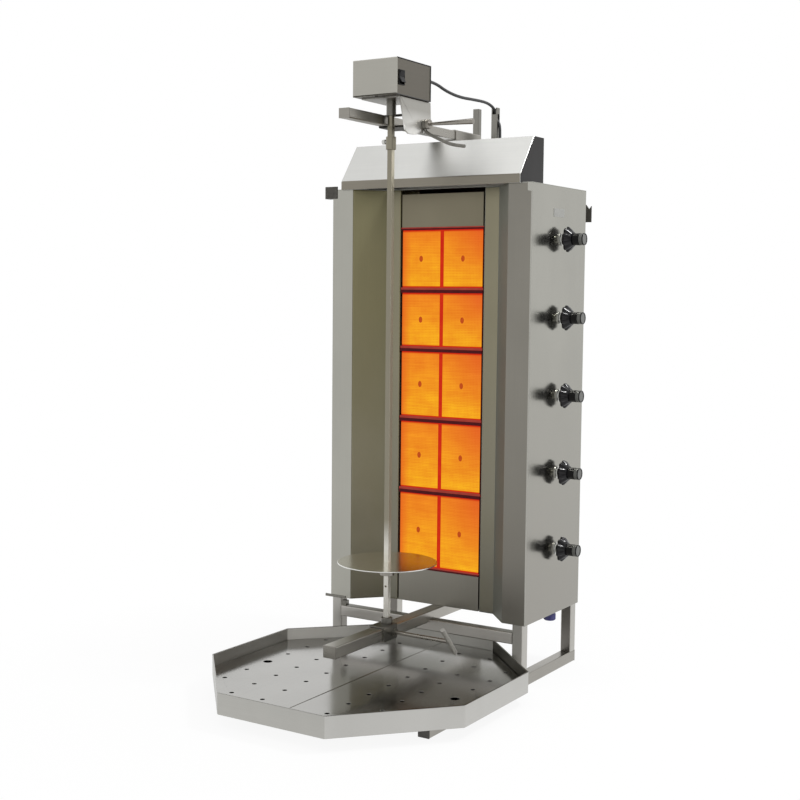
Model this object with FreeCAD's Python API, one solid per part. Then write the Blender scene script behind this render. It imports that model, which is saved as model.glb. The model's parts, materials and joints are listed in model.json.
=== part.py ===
import FreeCAD, Part
import math
import os

# A vertical gas grill for roasting meat on a turning spit.
# Millimetres. X runs along the cabinet's width and Z is up. While the pieces are made, Y = 0 is
# the cabinet's front plane and Y grows towards the back; save() then centres the outline on Y.

# Cabinet of folded stainless sheet
CABINET_WIDTH = 500.0
CABINET_DEPTH = 265.0
CABINET_BASE = 135.0            # underside above the ground
SHEET = 1.5
CORNER_FLANGE = 55.0            # front flange beside each side panel
WING_LAP = 20.0                 # how far a wing reaches behind the flange
RECESS_DEPTH = 60.0             # burner front behind the cabinet front
STRIP_WIDTH = 35.5              # flat strip between a slanted wing and the burners
SHADOW_GAP = 2.5                # gap between strip and fascia
INNER_LIP = 18.0                # lip behind the burners that carries them
LOWER_FASCIA = 77.0
UPPER_FASCIA = 73.0
LIP_GAP = 10.0                  # dark slot between upper fascia and roof
EAR_REACH = 20.0
EAR_HEIGHT = 18.0

# Burners
BURNER_PITCHES = [138.8, 130.7, 157.0, 161.9, 177.6]     # from the top burner down
BURNER_COUNT = len(BURNER_PITCHES)
BURNER_WIDTH = 208.0
HOUSING_DEPTH = 45.0
HOUSING_GAP = 2.0               # between two housings
HOUSING_SIDE_GAP = 0.5
HOUSING_WALL = 2.0
PLAQUE_WIDTH = 97.0
PLAQUE_MARGIN = 8.6             # from a plaque to the joint between two burners
PLAQUE_THICKNESS = 12.0
PLAQUE_SPLIT = 9.5              # between the two plaques of a burner
PLAQUE_SETBACK = 2.0            # plaque face behind the fascia
HOUSING_SETBACK = 1.5           # housing edge behind the plaque face
PLAQUE_RIM = 4.0                # plaque edge that rests on the housing
PLAQUE_RAIL_HEIGHT = 12.0
PLAQUE_RAIL_DEPTH = 4.0
MIXER_DIAMETER = 24.0
MIXER_BORE = 20.0
MIXER_DEPTH = 128.0             # axis behind the cabinet front
MIXER_MOUTH = 150.0             # open end, from the middle
NECK_HALF_WIDTH = 20.0
NECK_CENTRE = 35.0
NECK_HALF_HEIGHT = 14.0

# Gas line and knobs
KNOB_PITCH = 167.5
KNOB_DROP = 111.0               # top knob below the cabinet top
KNOB_DEPTH = 140.0              # axis behind the cabinet front
SPINDLE_DIAMETER = 8.0
SPINDLE_CLEARANCE = 0.05
SPINDLE_INSIDE = 20.0
SPINDLE_HOLE_GAP = 1.0
KNOB_STANDOFF = 14.0
SKIRT_DIAMETER = 54.0
SKIRT_THICKNESS = 16.0
SKIRT_RIM = 5.0                 # straight rim, before the skirt tapers to its neck
SKIRT_NECK = 32.0
SKIRT_LOBES = 12
LOBE_DIAMETER = 8.0
LOBE_OUTSIDE = 1.0              # notch centres outside the skirt's edge
GRIP_DIAMETER = 26.0
GRIP_LENGTH = 26.0
GRIP_RECESS = 3.0
GRIP_RIM = 2.5
BEZEL_DIAMETER = 27.0
BEZEL_STEP_DIAMETER = 18.0
BEZEL_THICKNESS = 2.5
TAP_LENGTH = 26.5
TAP_HALF_DEPTH = 10.0
TAP_HALF_HEIGHT = 12.0
TAP_OUTLET_DIAMETER = 11.0
TAP_OUTLET = 8.0
MANIFOLD_DIAMETER = 21.0
MANIFOLD_BORE = 16.0
MANIFOLD_BEHIND_TAPS = 25.0
MANIFOLD_FROM_PANEL = 22.0
MANIFOLD_BELOW = 20.0           # below the cabinet's underside
MANIFOLD_ABOVE = 14.0           # above the top tap
FEED_DIAMETER = 8.0
FEED_IN_MOUTH = 6.0
CAP_DIAMETER = 27.0
CAP_HEIGHT = 17.0
CAP_WALL = 2.0
CAP_CLEARANCE = 0.08

# Flue hood
HOOD_INSET = 25.5               # hood's ends inside the cabinet's sides
HOOD_WIDTH = CABINET_WIDTH - 2 * HOOD_INSET
HOOD_SHEET = 1.2
HOOD_AHEAD = 5.0
HOOD_LIP = 18.5
HOOD_HEIGHT = 101.0
HOOD_SLOPE_END = 55.0
HOOD_DEPTH = 103.0

# Base frame of square tube
TUBE = 25.0
TUBE_WALL = 1.5
LEG_INSET = 5.0
BASE_REACH = 378.0              # ahead of the cabinet front
CROSSBAR_DROP = 18.0            # crossbar top below the cabinet
FOOT_RAIL_WIDTH = 30.0
FOOT_RAIL_HEIGHT = 25.0
FOOT_RAIL_REACH = 357.0
END_CAP = 2.0
END_CAP_PLUG = 10.0
PLUG_CLEARANCE = 0.1

# Rear posts, top rail and its socket
POST = 15.0
POST_WALL = 1.5
POST_SPACING = 48.0
POST_ABOVE = 196.0
POST_BELOW = 100.0
POST_NOTCH = 15.0
POST_SLOT_WIDTH = 9.0
POST_SLOT_TOP = 14.0
POST_SLOT_BOTTOM = 43.0
TOP_RAIL_WIDTH = 25.0
TOP_RAIL_HEIGHT = 20.0
TOP_RAIL_RISE = 114.0           # underside above the cabinet top
TOP_RAIL_REACH = 283.0
SOCKET_LENGTH = 114.5
SOCKET_WALL = 2.0
SOCKET_CLEARANCE = 0.1

# Motor box and its clamp on the top rail
BOX_WIDTH = 106.0
BOX_DEPTH = 130.0
BOX_HEIGHT = 73.0
BOX_RISE = 165.0                # underside above the cabinet top
BOX_AHEAD = 62.0                # box front ahead of the spit
BOX_SHEET = 1.5
SIDE_RECESS = 1.0
SEAM = 0.5
COVER_LIP = 12.0
SCREW_HEAD = 7.0
SCREW_HEAD_HEIGHT = 2.2
SCREW_SHANK = 3.6
SCREW_INSET = 6.0
BRACKET_SHEET = 3.0
BRACKET_SETBACK = 20.0          # top plate behind the box front
CHEEK_BELOW_JAW = 21.0
CHEEK_LOBE = 13.5               # radius around the clamp
CHEEK_TOP_BACK = 8.0            # behind the box
CHEEK_WAIST_BACK = 10.0
CHEEK_WAIST_DROP = 39.0
CHEEK_LOBE_BACK = 10.8
CHEEK_HEEL = 14.0               # ahead of the clamp
CHEEK_HEEL_RISE = 4.0
CHEEK_TOE_BACK = 9.0            # behind the spit
CHEEK_TOE_FRONT = 10.0
CHEEK_CHIN = 22.0
CHEEK_CHIN_RISE = 7.0
SLIDE_CLEARANCE = 0.3
CHEEK_X = 45.0
JAW_DEPTH = 60.0
JAW_BEHIND_SPIT = 13.0
SHOE_DEPTH = 17.0
CLAMP_BEHIND_SPIT = 50.0
CLAMP_HEIGHT = 3.5              # clamp axis above the rail's underside
CLAMP_DIAMETER = 6.0
HUB_DIAMETER = 20.0
HUB_LENGTH = 7.4
HUB_GAP = 0.2
CLAMP_BAR_REACH = 165.0
CLAMP_BAR_END = 12.0
LEVER_DIAMETER = 7.0
LEVER_BENDS = [(0, -3), (0, 4), (9, 10), (36, 23), (62, 34), (94, 39)]  # out, and down from the hub
TIP_GAP = 0.1                   # a clamping tip short of what it presses on
OVERLAP = 0.5                   # how far joined solids run into each other

# Drive
SPIT_REACH = 148.0              # spit axis ahead of the cabinet front
SHAFT_DIAMETER = 14.0
BUSH_DIAMETER = 20.0
BUSH_NECK = 17.0
BUSH_LENGTH = 30.0              # below the bracket's top plate
BUSH_ABOVE = 5.0
RUN_CLEARANCE = 0.05
GEAR_MODULE = 1.0
GEAR_TEETH = 54
PINION_TEETH = 18
GEAR_THICKNESS = 8.0
PINION_THICKNESS = 10.0
GEAR_RISE = 9.0                 # gear underside above the box's underside
GEAR_HUB = 24.0
GEAR_FIT = 0.02
BACKLASH = 0.16
PRESSURE_ANGLE = math.radians(20)
FLANK_POINTS = 4
MOTOR_DIAMETER = 40.0
MOTOR_LENGTH = 44.0
MOTOR_SHAFT = 6.0
MOTOR_PLATE = 3.0
MOTOR_PLATE_RISE = 20.0
MOTOR_PLATE_HALF_WIDTH = 44.0
MOTOR_LEG = 6.0
MOTOR_PLATE_MARGIN = 2.0
MOTOR_SHAFT_ABOVE = 12.0        # pinion shaft's top above the motor plate
MOTOR_BORE_SPARE = 1.5
SHAFT_ABOVE_GEAR = 2.0
SQUARE_SPARE = 1.0              # square above the sleeve's highest place
GLAND_X = 30.0
GLAND_RISE = 48.0
GLAND_NUT = 14.0
GLAND_NUT_LENGTH = 4.0
GLAND_LENGTH = 26.0
GLAND_ROOT = 11.0

# Switch on the box's side
SWITCH_AHEAD = 44.5             # switch centre ahead of the spit
SWITCH_RISE = 34.5
SWITCH_WIDTH = 21.0
SWITCH_HEIGHT = 29.5
SWITCH_RIM = 2.0
SWITCH_BODY = 20.0
SWITCH_WALL = 1.5
ROCKER_CLEARANCE = 0.2
ROCKER_TILT = 8.0
ROCKER_PIN = 3.0
ROCKER_PIVOT_DEPTH = 4.0        # pin behind the box's side
ROCKER_ROOT = 3.0               # rocker's back behind the pin
ROCKER_MARGIN = 2.0
ROCKER_PROUD = 3.0              # ends of the rocker above the rim
ROCKER_DISH = 3.5               # middle of the rocker below its ends
ROCKER_TAPER = 1.0
SWITCH_RIM_LAP = 1.0

# Spit, coupling and meat disc
SPIT_SIDE = 11.0
SLIP = 0.15                     # clearance of a sliding square
SPIT_TOP_DROP = 88.0            # top of the spit below the box
SLEEVE_DIAMETER = 21.0
SLEEVE_LENGTH = 26.0
SLEEVE_ABOVE_JOINT = 13.0
SLEEVE_LIFT = 20.0
THUMB_SCREW = 5.0
THUMB_HEAD = 10.0
THUMB_HEAD_LENGTH = 8.0
THUMB_NECK = 2.0
DISC_DIAMETER = 210.0
DISC_THICKNESS = 2.5
DISC_TOP = 269.5
DISC_HUB_DIAMETER = 30.0
DISC_HUB_HEIGHT = 26.0
DISC_SCREW_RISE = 1.0           # screw head above the hub's underside
SLEEVE_SCREW_RISE = 3.0         # screw above the joint of spit and shaft
SPIT_PIN = 10.0
SPIT_HOLE = 4.0
SPIT_HOLE_HEIGHT = 217.0

# Foot carriage
SADDLE_WALL = 3.0
SADDLE_LENGTH = 50.0
SADDLE_AHEAD = 38.0             # saddle front ahead of the spit
FOOT_BUSH_DIAMETER = 24.0
FOOT_BUSH_HEIGHT = 12.0
FOOT_BOSS_DIAMETER = 16.0
FOOT_BOSS_LENGTH = 6.0
FOOT_ROD = 8.5
FOOT_ROD_HEIGHT = 121.0
FOOT_BAR_X = 152.0
FOOT_BAR = 10.0
FOOT_BAR_LENGTH = 81.0
FOOT_BAR_ANGLE = 48.0

# Drip tray
TRAY_REACH = 548.5
TRAY_BACK = 91.0                # behind the cabinet front
TRAY_HALF_WIDTH = 306.5
TRAY_HEIGHT = 44.0
TRAY_CLEARANCE = 0.3
FRONT_CUT_X = 181.0
FRONT_CUT_Y = 198.0
REAR_CORNER_INSET = 92.0        # tray's rear corner inside the front leg
REAR_CUT_SLOPE = 182.0 / 178.5
INSERT_TOP = 18.7               # insert top above the tray's underside
INSERT_GAP = 1.0
DRAIN_HOLE = 9.5
DRAIN_PITCH_X = 77.0
DRAIN_PITCH_Y = 71.0
DRAIN_FIRST_Y = -471.0
DRAIN_ROWS = 8
DRAIN_COLUMNS = 3
DRAIN_EDGE = 16.0
FINGER_HOLE = 19.0
FINGER_ROW = 3

# Power lead
CABLE_DIAMETER = 6.5
ROOF_GROMMET = 14.0
GROMMET_GROOVE = 10.0
GROMMET_LIP = 2.5
GROMMET_CLEARANCE = 0.3
TAIL_GAP = 1.8                  # between the tail and the post

# Small brackets on the cabinet
BRACKET_WALL = 3.0
TOP_BRACKET_HEIGHT = 27.0
TOP_BRACKET_OUT = 19.0
TOP_BRACKET_IN = 14.0
TOP_BRACKET_DEPTH = 17.0
HOOK_WIDTH = 13.0
HOOK_HEIGHT = 39.0
HOOK_DROP = 68.0
HOOK_TAB = 9.0                  # part of the hook that lies on the back panel
STRIP_THICKNESS = 6.0

# Places that follow from the sizes above
HALF_WIDTH = CABINET_WIDTH / 2
BURNER_START = CABINET_BASE + LOWER_FASCIA
BURNER_JOINTS = [BURNER_START + sum(BURNER_PITCHES[k:]) for k in range(BURNER_COUNT + 1)]
CABINET_TOP = BURNER_JOINTS[0] + UPPER_FASCIA + LIP_GAP
FRONT_Y = (TRAY_REACH - CABINET_DEPTH) / 2
FLANGE_EDGE = HALF_WIDTH - CORNER_FLANGE
BURNER_HALF = BURNER_WIDTH / 2
RETURN_X = BURNER_HALF + SHADOW_GAP
STRIP_EDGE = RETURN_X + STRIP_WIDTH
LIP_Y = RECESS_DEPTH + PLAQUE_SETBACK + HOUSING_SETBACK + HOUSING_DEPTH
SPINDLE_HOLE = SPINDLE_DIAMETER + 2 * SPINDLE_HOLE_GAP
LEG_OUT = HALF_WIDTH - LEG_INSET
LEG_IN = LEG_OUT - TUBE
POST_Y = CABINET_DEPTH - SHEET - POST
POST_X = POST_SPACING / 2
POST_TOP = CABINET_TOP + POST_ABOVE
RAIL_LOW = CABINET_TOP + TOP_RAIL_RISE
RAIL_HIGH = RAIL_LOW + TOP_RAIL_HEIGHT
RAIL_LEFT = -POST_X - TOP_RAIL_WIDTH / 2
RAIL_RIGHT = -POST_X + TOP_RAIL_WIDTH / 2
BOX_LOW = CABINET_TOP + BOX_RISE
BOX_HIGH = BOX_LOW + BOX_HEIGHT
BOX_HALF = BOX_WIDTH / 2
SPIT_Y = -SPIT_REACH
BOX_FRONT = SPIT_Y - BOX_AHEAD
BOX_BACK = BOX_FRONT + BOX_DEPTH
PINION_Y = SPIT_Y + GEAR_MODULE * (GEAR_TEETH + PINION_TEETH) / 2
SPIT_TOP = BOX_LOW - SPIT_TOP_DROP
CLAMP_Y = SPIT_Y + CLAMP_BEHIND_SPIT
CLAMP_Z = RAIL_LOW + CLAMP_HEIGHT
FOOT_RAIL_LOW = CABINET_BASE - FOOT_RAIL_HEIGHT
SADDLE_TOP = CABINET_BASE + SLIDE_CLEARANCE + SADDLE_WALL
MANIFOLD_X = HALF_WIDTH - MANIFOLD_FROM_PANEL
MANIFOLD_Y = KNOB_DEPTH + MANIFOLD_BEHIND_TAPS
TRAY_LOW = TUBE + TRAY_CLEARANCE
REAR_CUT_X = TRAY_HALF_WIDTH - (LEG_IN - REAR_CORNER_INSET)
REAR_CUT_Y = REAR_CUT_X * REAR_CUT_SLOPE
KNOB_HEIGHTS = [CABINET_TOP - KNOB_DROP - KNOB_PITCH * k for k in range(BURNER_COUNT)]
BURNER_HEIGHTS = [(high + low) / 2 for high, low in zip(BURNER_JOINTS, BURNER_JOINTS[1:])]

X_AXIS = FreeCAD.Vector(1, 0, 0)
Y_AXIS = FreeCAD.Vector(0, 1, 0)
Z_AXIS = FreeCAD.Vector(0, 0, 1)

os.makedirs("parts", exist_ok=True)


def point(x, y, z):
    return FreeCAD.Vector(x, y, z)


def block(x, y, z):
    """A rectangular solid between two limits along each axis."""
    return Part.makeBox(x[1] - x[0], y[1] - y[0], z[1] - z[0], point(x[0], y[0], z[0]))


def rod(start, axis, diameter, length):
    return Part.makeCylinder(diameter / 2, length, point(*start), axis)


def cone(start, axis, first, last, length):
    return Part.makeCone(first / 2, last / 2, length, point(*start), axis)


def prism(corners, along):
    """Extrudes the flat outline through the corners."""
    loop = [point(*corner) for corner in corners]
    return Part.Face(Part.makePolygon(loop + [loop[0]])).extrude(along)


def around_x(shape, angle, y, z):
    turned = shape.copy()
    turned.rotate(point(0, y, z), X_AXIS, angle)
    return turned


def mirrored(shape):
    return shape.mirror(point(0, 0, 0), X_AXIS)


def union(shapes):
    return shapes[0].fuse(shapes[1:]).removeSplitter()


def save(name, *shapes):
    """Writes one sub-part, moved so that the whole outline is centred on the origin."""
    solids = []
    for shape in shapes:
        moved = shape.copy()
        moved.translate(point(0, FRONT_Y, 0))
        solids.extend(moved.Solids)
    body = solids[0] if len(solids) == 1 else Part.makeCompound(solids)
    body.exportStep("parts/" + name + ".step")


def folded(outline, thickness):
    """Corners of a folded sheet in plan; the thickness lies to the right of the outline."""
    inner = []
    for i, (x, y) in enumerate(outline):
        normals = []
        for a, b in ((i - 1, i), (i, i + 1)):
            if 0 <= a and b < len(outline):
                dx = outline[b][0] - outline[a][0]
                dy = outline[b][1] - outline[a][1]
                length = math.hypot(dx, dy)
                normals.append((dy / length, -dx / length))
        nx = sum(n[0] for n in normals)
        ny = sum(n[1] for n in normals)
        scale = thickness * len(normals) / (nx * nx + ny * ny)
        if len(normals) == 2:
            scale = 2 * thickness / (nx * nx + ny * ny)
        inner.append((x + nx * scale, y + ny * scale))
    return outline + inner[::-1]


def upright_sheet(outline, thickness, low, high):
    corners = [(x, y, low) for x, y in folded(outline, thickness)]
    return prism(corners, point(0, 0, high - low))


def tube(x, y, z, along, wall):
    """A rectangular tube, open at both ends of the axis that it runs along."""
    limits = [x, y, z]
    inner = [(a + wall, b - wall) for a, b in limits]
    inner["xyz".index(along)] = limits["xyz".index(along)]
    return block(*limits).cut(block(*inner))


def tube_plug(x, y, z, wall, side):
    """A cap that closes a tube's end in the Y direction; side is -1 at the front end, 1 at the back."""
    end = y[0] if side < 0 else y[1]
    outer = (end - END_CAP, end) if side < 0 else (end, end + END_CAP)
    inner = (end, end + END_CAP_PLUG) if side < 0 else (end - END_CAP_PLUG, end)
    gap = wall + PLUG_CLEARANCE
    plug = block((x[0] + gap, x[1] - gap), inner, (z[0] + gap, z[1] - gap))
    return union([block(x, outer, z), plug])


def bent_path(corners, share=0.45):
    """Straight runs joined by the largest tangent arcs that the runs allow; prints the radii."""
    corners = [point(*c) for c in corners]
    edges = []
    radii = []
    start = corners[0]
    for before, corner, after in zip(corners, corners[1:], corners[2:]):
        back = before - corner
        ahead = after - corner
        reach = share * min(back.Length, ahead.Length)
        back.normalize()
        ahead.normalize()
        turn = math.pi - back.getAngle(ahead)
        radius = reach / math.tan(turn / 2)
        radii.append(round(radius, 1))
        middle = back + ahead
        middle.normalize()
        centre_distance = radius / math.cos(turn / 2)
        entry = corner + back * reach
        leave = corner + ahead * reach
        top = corner + middle * (centre_distance - radius)
        edges.append(Part.LineSegment(start, entry).toShape())
        edges.append(Part.Arc(entry, top, leave).toShape())
        start = leave
    edges.append(Part.LineSegment(start, corners[-1]).toShape())
    return Part.Wire(edges), radii


def bent_rod(name, corners, diameter):
    path, radii = bent_path(corners)
    direction = point(*corners[1]) - point(*corners[0])
    ring = Part.Wire(Part.makeCircle(diameter / 2, point(*corners[0]), direction))
    solid = path.makePipeShell([ring], True, False)
    share = solid.Volume / (math.pi * diameter ** 2 / 4 * path.Length)
    print(name, "length", round(path.Length, 1), "radii", radii, "volume share", round(share, 4))
    return solid


def involute(angle):
    return math.tan(angle) - angle


def gear_blank(teeth, thickness, x, y, z, phase):
    """A spur gear's solid disc with involute flanks; one tooth points along the phase angle."""
    pitch = GEAR_MODULE * teeth / 2
    base = pitch * math.cos(PRESSURE_ANGLE)
    tip = pitch + GEAR_MODULE
    root = pitch - 1.25 * GEAR_MODULE
    low = max(base, root)
    half = math.pi / (2 * teeth) - BACKLASH / (4 * pitch)
    outline = []
    for tooth in range(teeth):
        middle = phase + 2 * math.pi * tooth / teeth
        flank = []
        for i in range(FLANK_POINTS):
            radius = low + (tip - low) * i / (FLANK_POINTS - 1)
            angle = math.acos(min(1, base / radius))
            flank.append((radius, half + involute(PRESSURE_ANGLE) - involute(angle)))
        flank.insert(0, (root, flank[0][1]))
        for radius, spread in flank:
            outline.append((radius, middle - spread))
        for radius, spread in reversed(flank):
            outline.append((radius, middle + spread))
    corners = [(x + r * math.cos(a), y + r * math.sin(a), z) for r, a in outline]
    return prism(corners, point(0, 0, thickness))


def thumb_screw(tip_x, neck_x, y, z):
    """A hand screw that points along +X and presses on a flat with its tip."""
    head_x = neck_x - THUMB_NECK - THUMB_HEAD_LENGTH
    shank = rod((head_x + 1, y, z), X_AXIS, THUMB_SCREW, tip_x - head_x - 1)
    head = rod((head_x, y, z), X_AXIS, THUMB_HEAD, THUMB_HEAD_LENGTH)
    return union([shank, head])


# Base frame
def make_base_frame():
    front_end = -BASE_REACH + END_CAP
    back_end = CABINET_DEPTH - END_CAP
    rails = []
    caps = []
    legs = []
    for side in (-1, 1):
        x = (min(side * LEG_IN, side * LEG_OUT), max(side * LEG_IN, side * LEG_OUT))
        y = (front_end, back_end)
        rails.append(tube(x, y, (0, TUBE), "y", TUBE_WALL))
        caps.append(tube_plug(x, y, (0, TUBE), TUBE_WALL, -1))
        caps.append(tube_plug(x, y, (0, TUBE), TUBE_WALL, 1))
        for leg_y in ((0, TUBE), (CABINET_DEPTH - TUBE, CABINET_DEPTH)):
            legs.append(tube(x, leg_y, (TUBE, CABINET_BASE), "z", TUBE_WALL))
    crossbar_top = CABINET_BASE - CROSSBAR_DROP
    crossbar = tube((-LEG_IN, LEG_IN), (0, TUBE), (crossbar_top - TUBE, crossbar_top), "x", TUBE_WALL)
    foot_x = (-FOOT_RAIL_WIDTH / 2, FOOT_RAIL_WIDTH / 2)
    foot_y = (-FOOT_RAIL_REACH + END_CAP, CABINET_DEPTH - TUBE)
    foot_z = (FOOT_RAIL_LOW, CABINET_BASE)
    crossbar = crossbar.cut(block(foot_x, foot_y, foot_z))
    caps.append(tube_plug(foot_x, foot_y, foot_z, TUBE_WALL, -1))
    rail_x = (RAIL_LEFT, RAIL_RIGHT)
    caps.append(tube_plug(rail_x, (END_CAP - TOP_RAIL_REACH, 0), (RAIL_LOW, RAIL_HIGH), TUBE_WALL, -1))
    save("base_rails", *rails)
    save("legs", *legs)
    save("front_crossbar", crossbar)
    save("bottom_rail", tube(foot_x, foot_y, foot_z, "y", TUBE_WALL))
    save("tube_end_caps", *caps)


# Cabinet shell
def make_cabinet():
    right = upright_sheet([(FLANGE_EDGE, 0), (HALF_WIDTH, 0), (HALF_WIDTH, CABINET_DEPTH)], -SHEET,
                          CABINET_BASE, CABINET_TOP)
    left = mirrored(right)
    ear = block((HALF_WIDTH - SHEET, HALF_WIDTH), (-EAR_REACH, 0), (CABINET_TOP - EAR_HEIGHT, CABINET_TOP))
    right = union([right, ear])
    for height in KNOB_HEIGHTS:
        hole = rod((HALF_WIDTH - 2 * SHEET, KNOB_DEPTH, height), X_AXIS, SPINDLE_HOLE, 3 * SHEET)
        right = right.cut(hole)
    wing_plan = [
        (FLANGE_EDGE + WING_LAP, SHEET),
        (FLANGE_EDGE, SHEET),
        (STRIP_EDGE, RECESS_DEPTH),
        (RETURN_X, RECESS_DEPTH),
        (RETURN_X, LIP_Y),
        (RETURN_X - INNER_LIP, LIP_Y),
    ]
    wing = upright_sheet(wing_plan, SHEET, CABINET_BASE, CABINET_TOP)
    back_y = (CABINET_DEPTH - SHEET, CABINET_DEPTH)
    inner_x = (SHEET - HALF_WIDTH, HALF_WIDTH - SHEET)
    back = block(inner_x, back_y, (CABINET_BASE, CABINET_TOP))
    fascia_plan = [(-BURNER_HALF, LIP_Y), (-BURNER_HALF, RECESS_DEPTH), (BURNER_HALF, RECESS_DEPTH),
                   (BURNER_HALF, LIP_Y)]
    lower = upright_sheet(fascia_plan, -SHEET, CABINET_BASE, BURNER_START)
    upper_low = CABINET_TOP - LIP_GAP - UPPER_FASCIA
    upper = upright_sheet(fascia_plan, -SHEET, upper_low, CABINET_TOP - LIP_GAP)
    floor_z = (CABINET_BASE, CABINET_BASE + SHEET)
    recess = [(FLANGE_EDGE, 0), (STRIP_EDGE, RECESS_DEPTH), (-STRIP_EDGE, RECESS_DEPTH), (-FLANGE_EDGE, 0)]
    recess = [(x, y, CABINET_BASE - SHEET) for x, y in recess]
    floor = block(inner_x, (SHEET, CABINET_DEPTH - SHEET), floor_z)
    floor = floor.cut(prism(recess, point(0, 0, 3 * SHEET)))
    for shape in (wing, mirrored(wing), lower, manifold_solid(MANIFOLD_DIAMETER + 1, 0)):
        floor = floor.cut(shape)
    floor = max(floor.Solids, key=lambda solid: solid.Volume)
    roof = block((-HALF_WIDTH, HALF_WIDTH), (0, CABINET_DEPTH), (CABINET_TOP, CABINET_TOP + SHEET))
    opening = [(x, y, CABINET_TOP - SHEET) for x, y, z in recess]
    roof = roof.cut(prism(opening, point(0, 0, 3 * SHEET)))
    for side in (-1, 1):
        gap = PLUG_CLEARANCE
        x = (side * POST_X - POST / 2 - gap, side * POST_X + POST / 2 + gap)
        y = (POST_Y - gap, CABINET_DEPTH - SHEET)
        roof = roof.cut(block(x, y, (CABINET_TOP - 1, CABINET_TOP + 2 * SHEET)))
    roof = roof.cut(rod((TAIL_X, TAIL_Y, CABINET_TOP - 1), Z_AXIS, GROMMET_GROOVE, 3 * SHEET))
    save("side_panel_left", left)
    save("side_panel_right", right)
    save("wing_left", mirrored(wing))
    save("wing_right", wing)
    save("back_panel", back)
    save("cabinet_floor", floor)
    save("roof_cap", roof)
    save("upper_fascia", upper)
    save("lower_fascia", lower)


# Flue hood over the recess
def make_hood():
    half = HOOD_WIDTH / 2
    low = CABINET_TOP + SHEET
    lip_low = CABINET_TOP
    lip_high = CABINET_TOP + HOOD_LIP
    high = CABINET_TOP + HOOD_HEIGHT
    front_plan = [(-HOOD_AHEAD, lip_low), (-HOOD_AHEAD, lip_high), (HOOD_SLOPE_END, high)]
    front = prism([(-half, y, z) for y, z in folded(front_plan, HOOD_SHEET)], point(HOOD_WIDTH, 0, 0))
    back = block((-half, half), (HOOD_DEPTH - HOOD_SHEET, HOOD_DEPTH), (low, high))
    pieces = [front, back]
    end_plan = [(-HOOD_AHEAD, lip_low), (-HOOD_AHEAD, lip_high), (HOOD_SLOPE_END, high), (HOOD_DEPTH, high),
                (HOOD_DEPTH, low), (0, low), (0, lip_low)]
    for x in (-half, half - HOOD_SHEET):
        pieces.append(prism([(x, y, z) for y, z in end_plan], point(HOOD_SHEET, 0, 0)))
    save("flue_hood", union(pieces))


# Burners
def make_burners():
    half = BURNER_HALF - HOUSING_SIDE_GAP
    face_y = RECESS_DEPTH + PLAQUE_SETBACK
    seat_y = face_y + PLAQUE_THICKNESS
    front_y = face_y + HOUSING_SETBACK
    wall = HOUSING_WALL
    housings = []
    plaques = []
    for high, low in zip(BURNER_JOINTS, BURNER_JOINTS[1:]):
        z = (high + low) / 2
        body_z = (low + HOUSING_GAP / 2, high - HOUSING_GAP / 2)
        body = block((-half, half), (front_y, LIP_Y), body_z)
        inside_z = (body_z[0] + wall, body_z[1] - wall)
        chamber = block((wall - half, half - wall), (seat_y + wall, LIP_Y - wall), inside_z)
        body = body.cut(chamber)
        plaque_z = (low + PLAQUE_MARGIN, high - PLAQUE_MARGIN)
        for side in (-1, 1):
            middle = side * (PLAQUE_SPLIT + PLAQUE_WIDTH) / 2
            x = (middle - PLAQUE_WIDTH / 2, middle + PLAQUE_WIDTH / 2)
            pocket = block(x, (front_y - 1, seat_y), plaque_z)
            window_x = (x[0] + PLAQUE_RIM, x[1] - PLAQUE_RIM)
            window_z = (plaque_z[0] + PLAQUE_RIM, plaque_z[1] - PLAQUE_RIM)
            window = block(window_x, (seat_y - 1, seat_y + wall + 1), window_z)
            body = body.cut(pocket).cut(window)
            plaques.append(block(x, (face_y, seat_y), plaque_z))
        neck_x = (NECK_CENTRE - NECK_HALF_WIDTH, NECK_CENTRE + NECK_HALF_WIDTH)
        neck_back = MIXER_DEPTH + MIXER_DIAMETER / 2
        neck_z = (z - NECK_HALF_HEIGHT, z + NECK_HALF_HEIGHT)
        neck = block(neck_x, (LIP_Y - wall, neck_back), neck_z)
        mixer = rod((NECK_CENTRE, MIXER_DEPTH, z), X_AXIS, MIXER_DIAMETER, MIXER_MOUTH - NECK_CENTRE)
        bore = rod((NECK_CENTRE, MIXER_DEPTH, z), X_AXIS, MIXER_BORE, MIXER_MOUTH)
        hollow_x = (neck_x[0] + wall, neck_x[1] - wall)
        hollow = block(hollow_x, (LIP_Y - 2 * wall, neck_back - wall), (neck_z[0] + wall, neck_z[1] - wall))
        housings.append(union([body, neck, mixer]).cut(bore).cut(hollow))
    rails = []
    for z in BURNER_JOINTS:
        low = max(BURNER_START, z - PLAQUE_RAIL_HEIGHT / 2)
        high = min(z + PLAQUE_RAIL_HEIGHT / 2, BURNER_JOINTS[0])
        rails.append(block((-BURNER_HALF, BURNER_HALF), (face_y - PLAQUE_RAIL_DEPTH, front_y), (low, high)))
    rails = [rail.cut(fascia_keepout()) for rail in rails]
    save("burner_housings", *housings)
    save("ceramic_plaques", *plaques)
    save("plaque_rails", *rails)


def fascia_keepout():
    """The space of both fascias' front sheets, which the end rails meet edge to edge."""
    top = BURNER_JOINTS[0]
    x = (-HALF_WIDTH, HALF_WIDTH)
    y = (RECESS_DEPTH - PLAQUE_RAIL_DEPTH, LIP_Y)
    return block(x, y, (CABINET_BASE, BURNER_START)).fuse(block(x, y, (top, CABINET_TOP)))


# Gas line
def manifold_solid(diameter, extra):
    low = CABINET_BASE - MANIFOLD_BELOW
    high = KNOB_HEIGHTS[0] + MANIFOLD_ABOVE
    return rod((MANIFOLD_X, MANIFOLD_Y, low - extra), Z_AXIS, diameter, high - low + 2 * extra)


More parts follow.
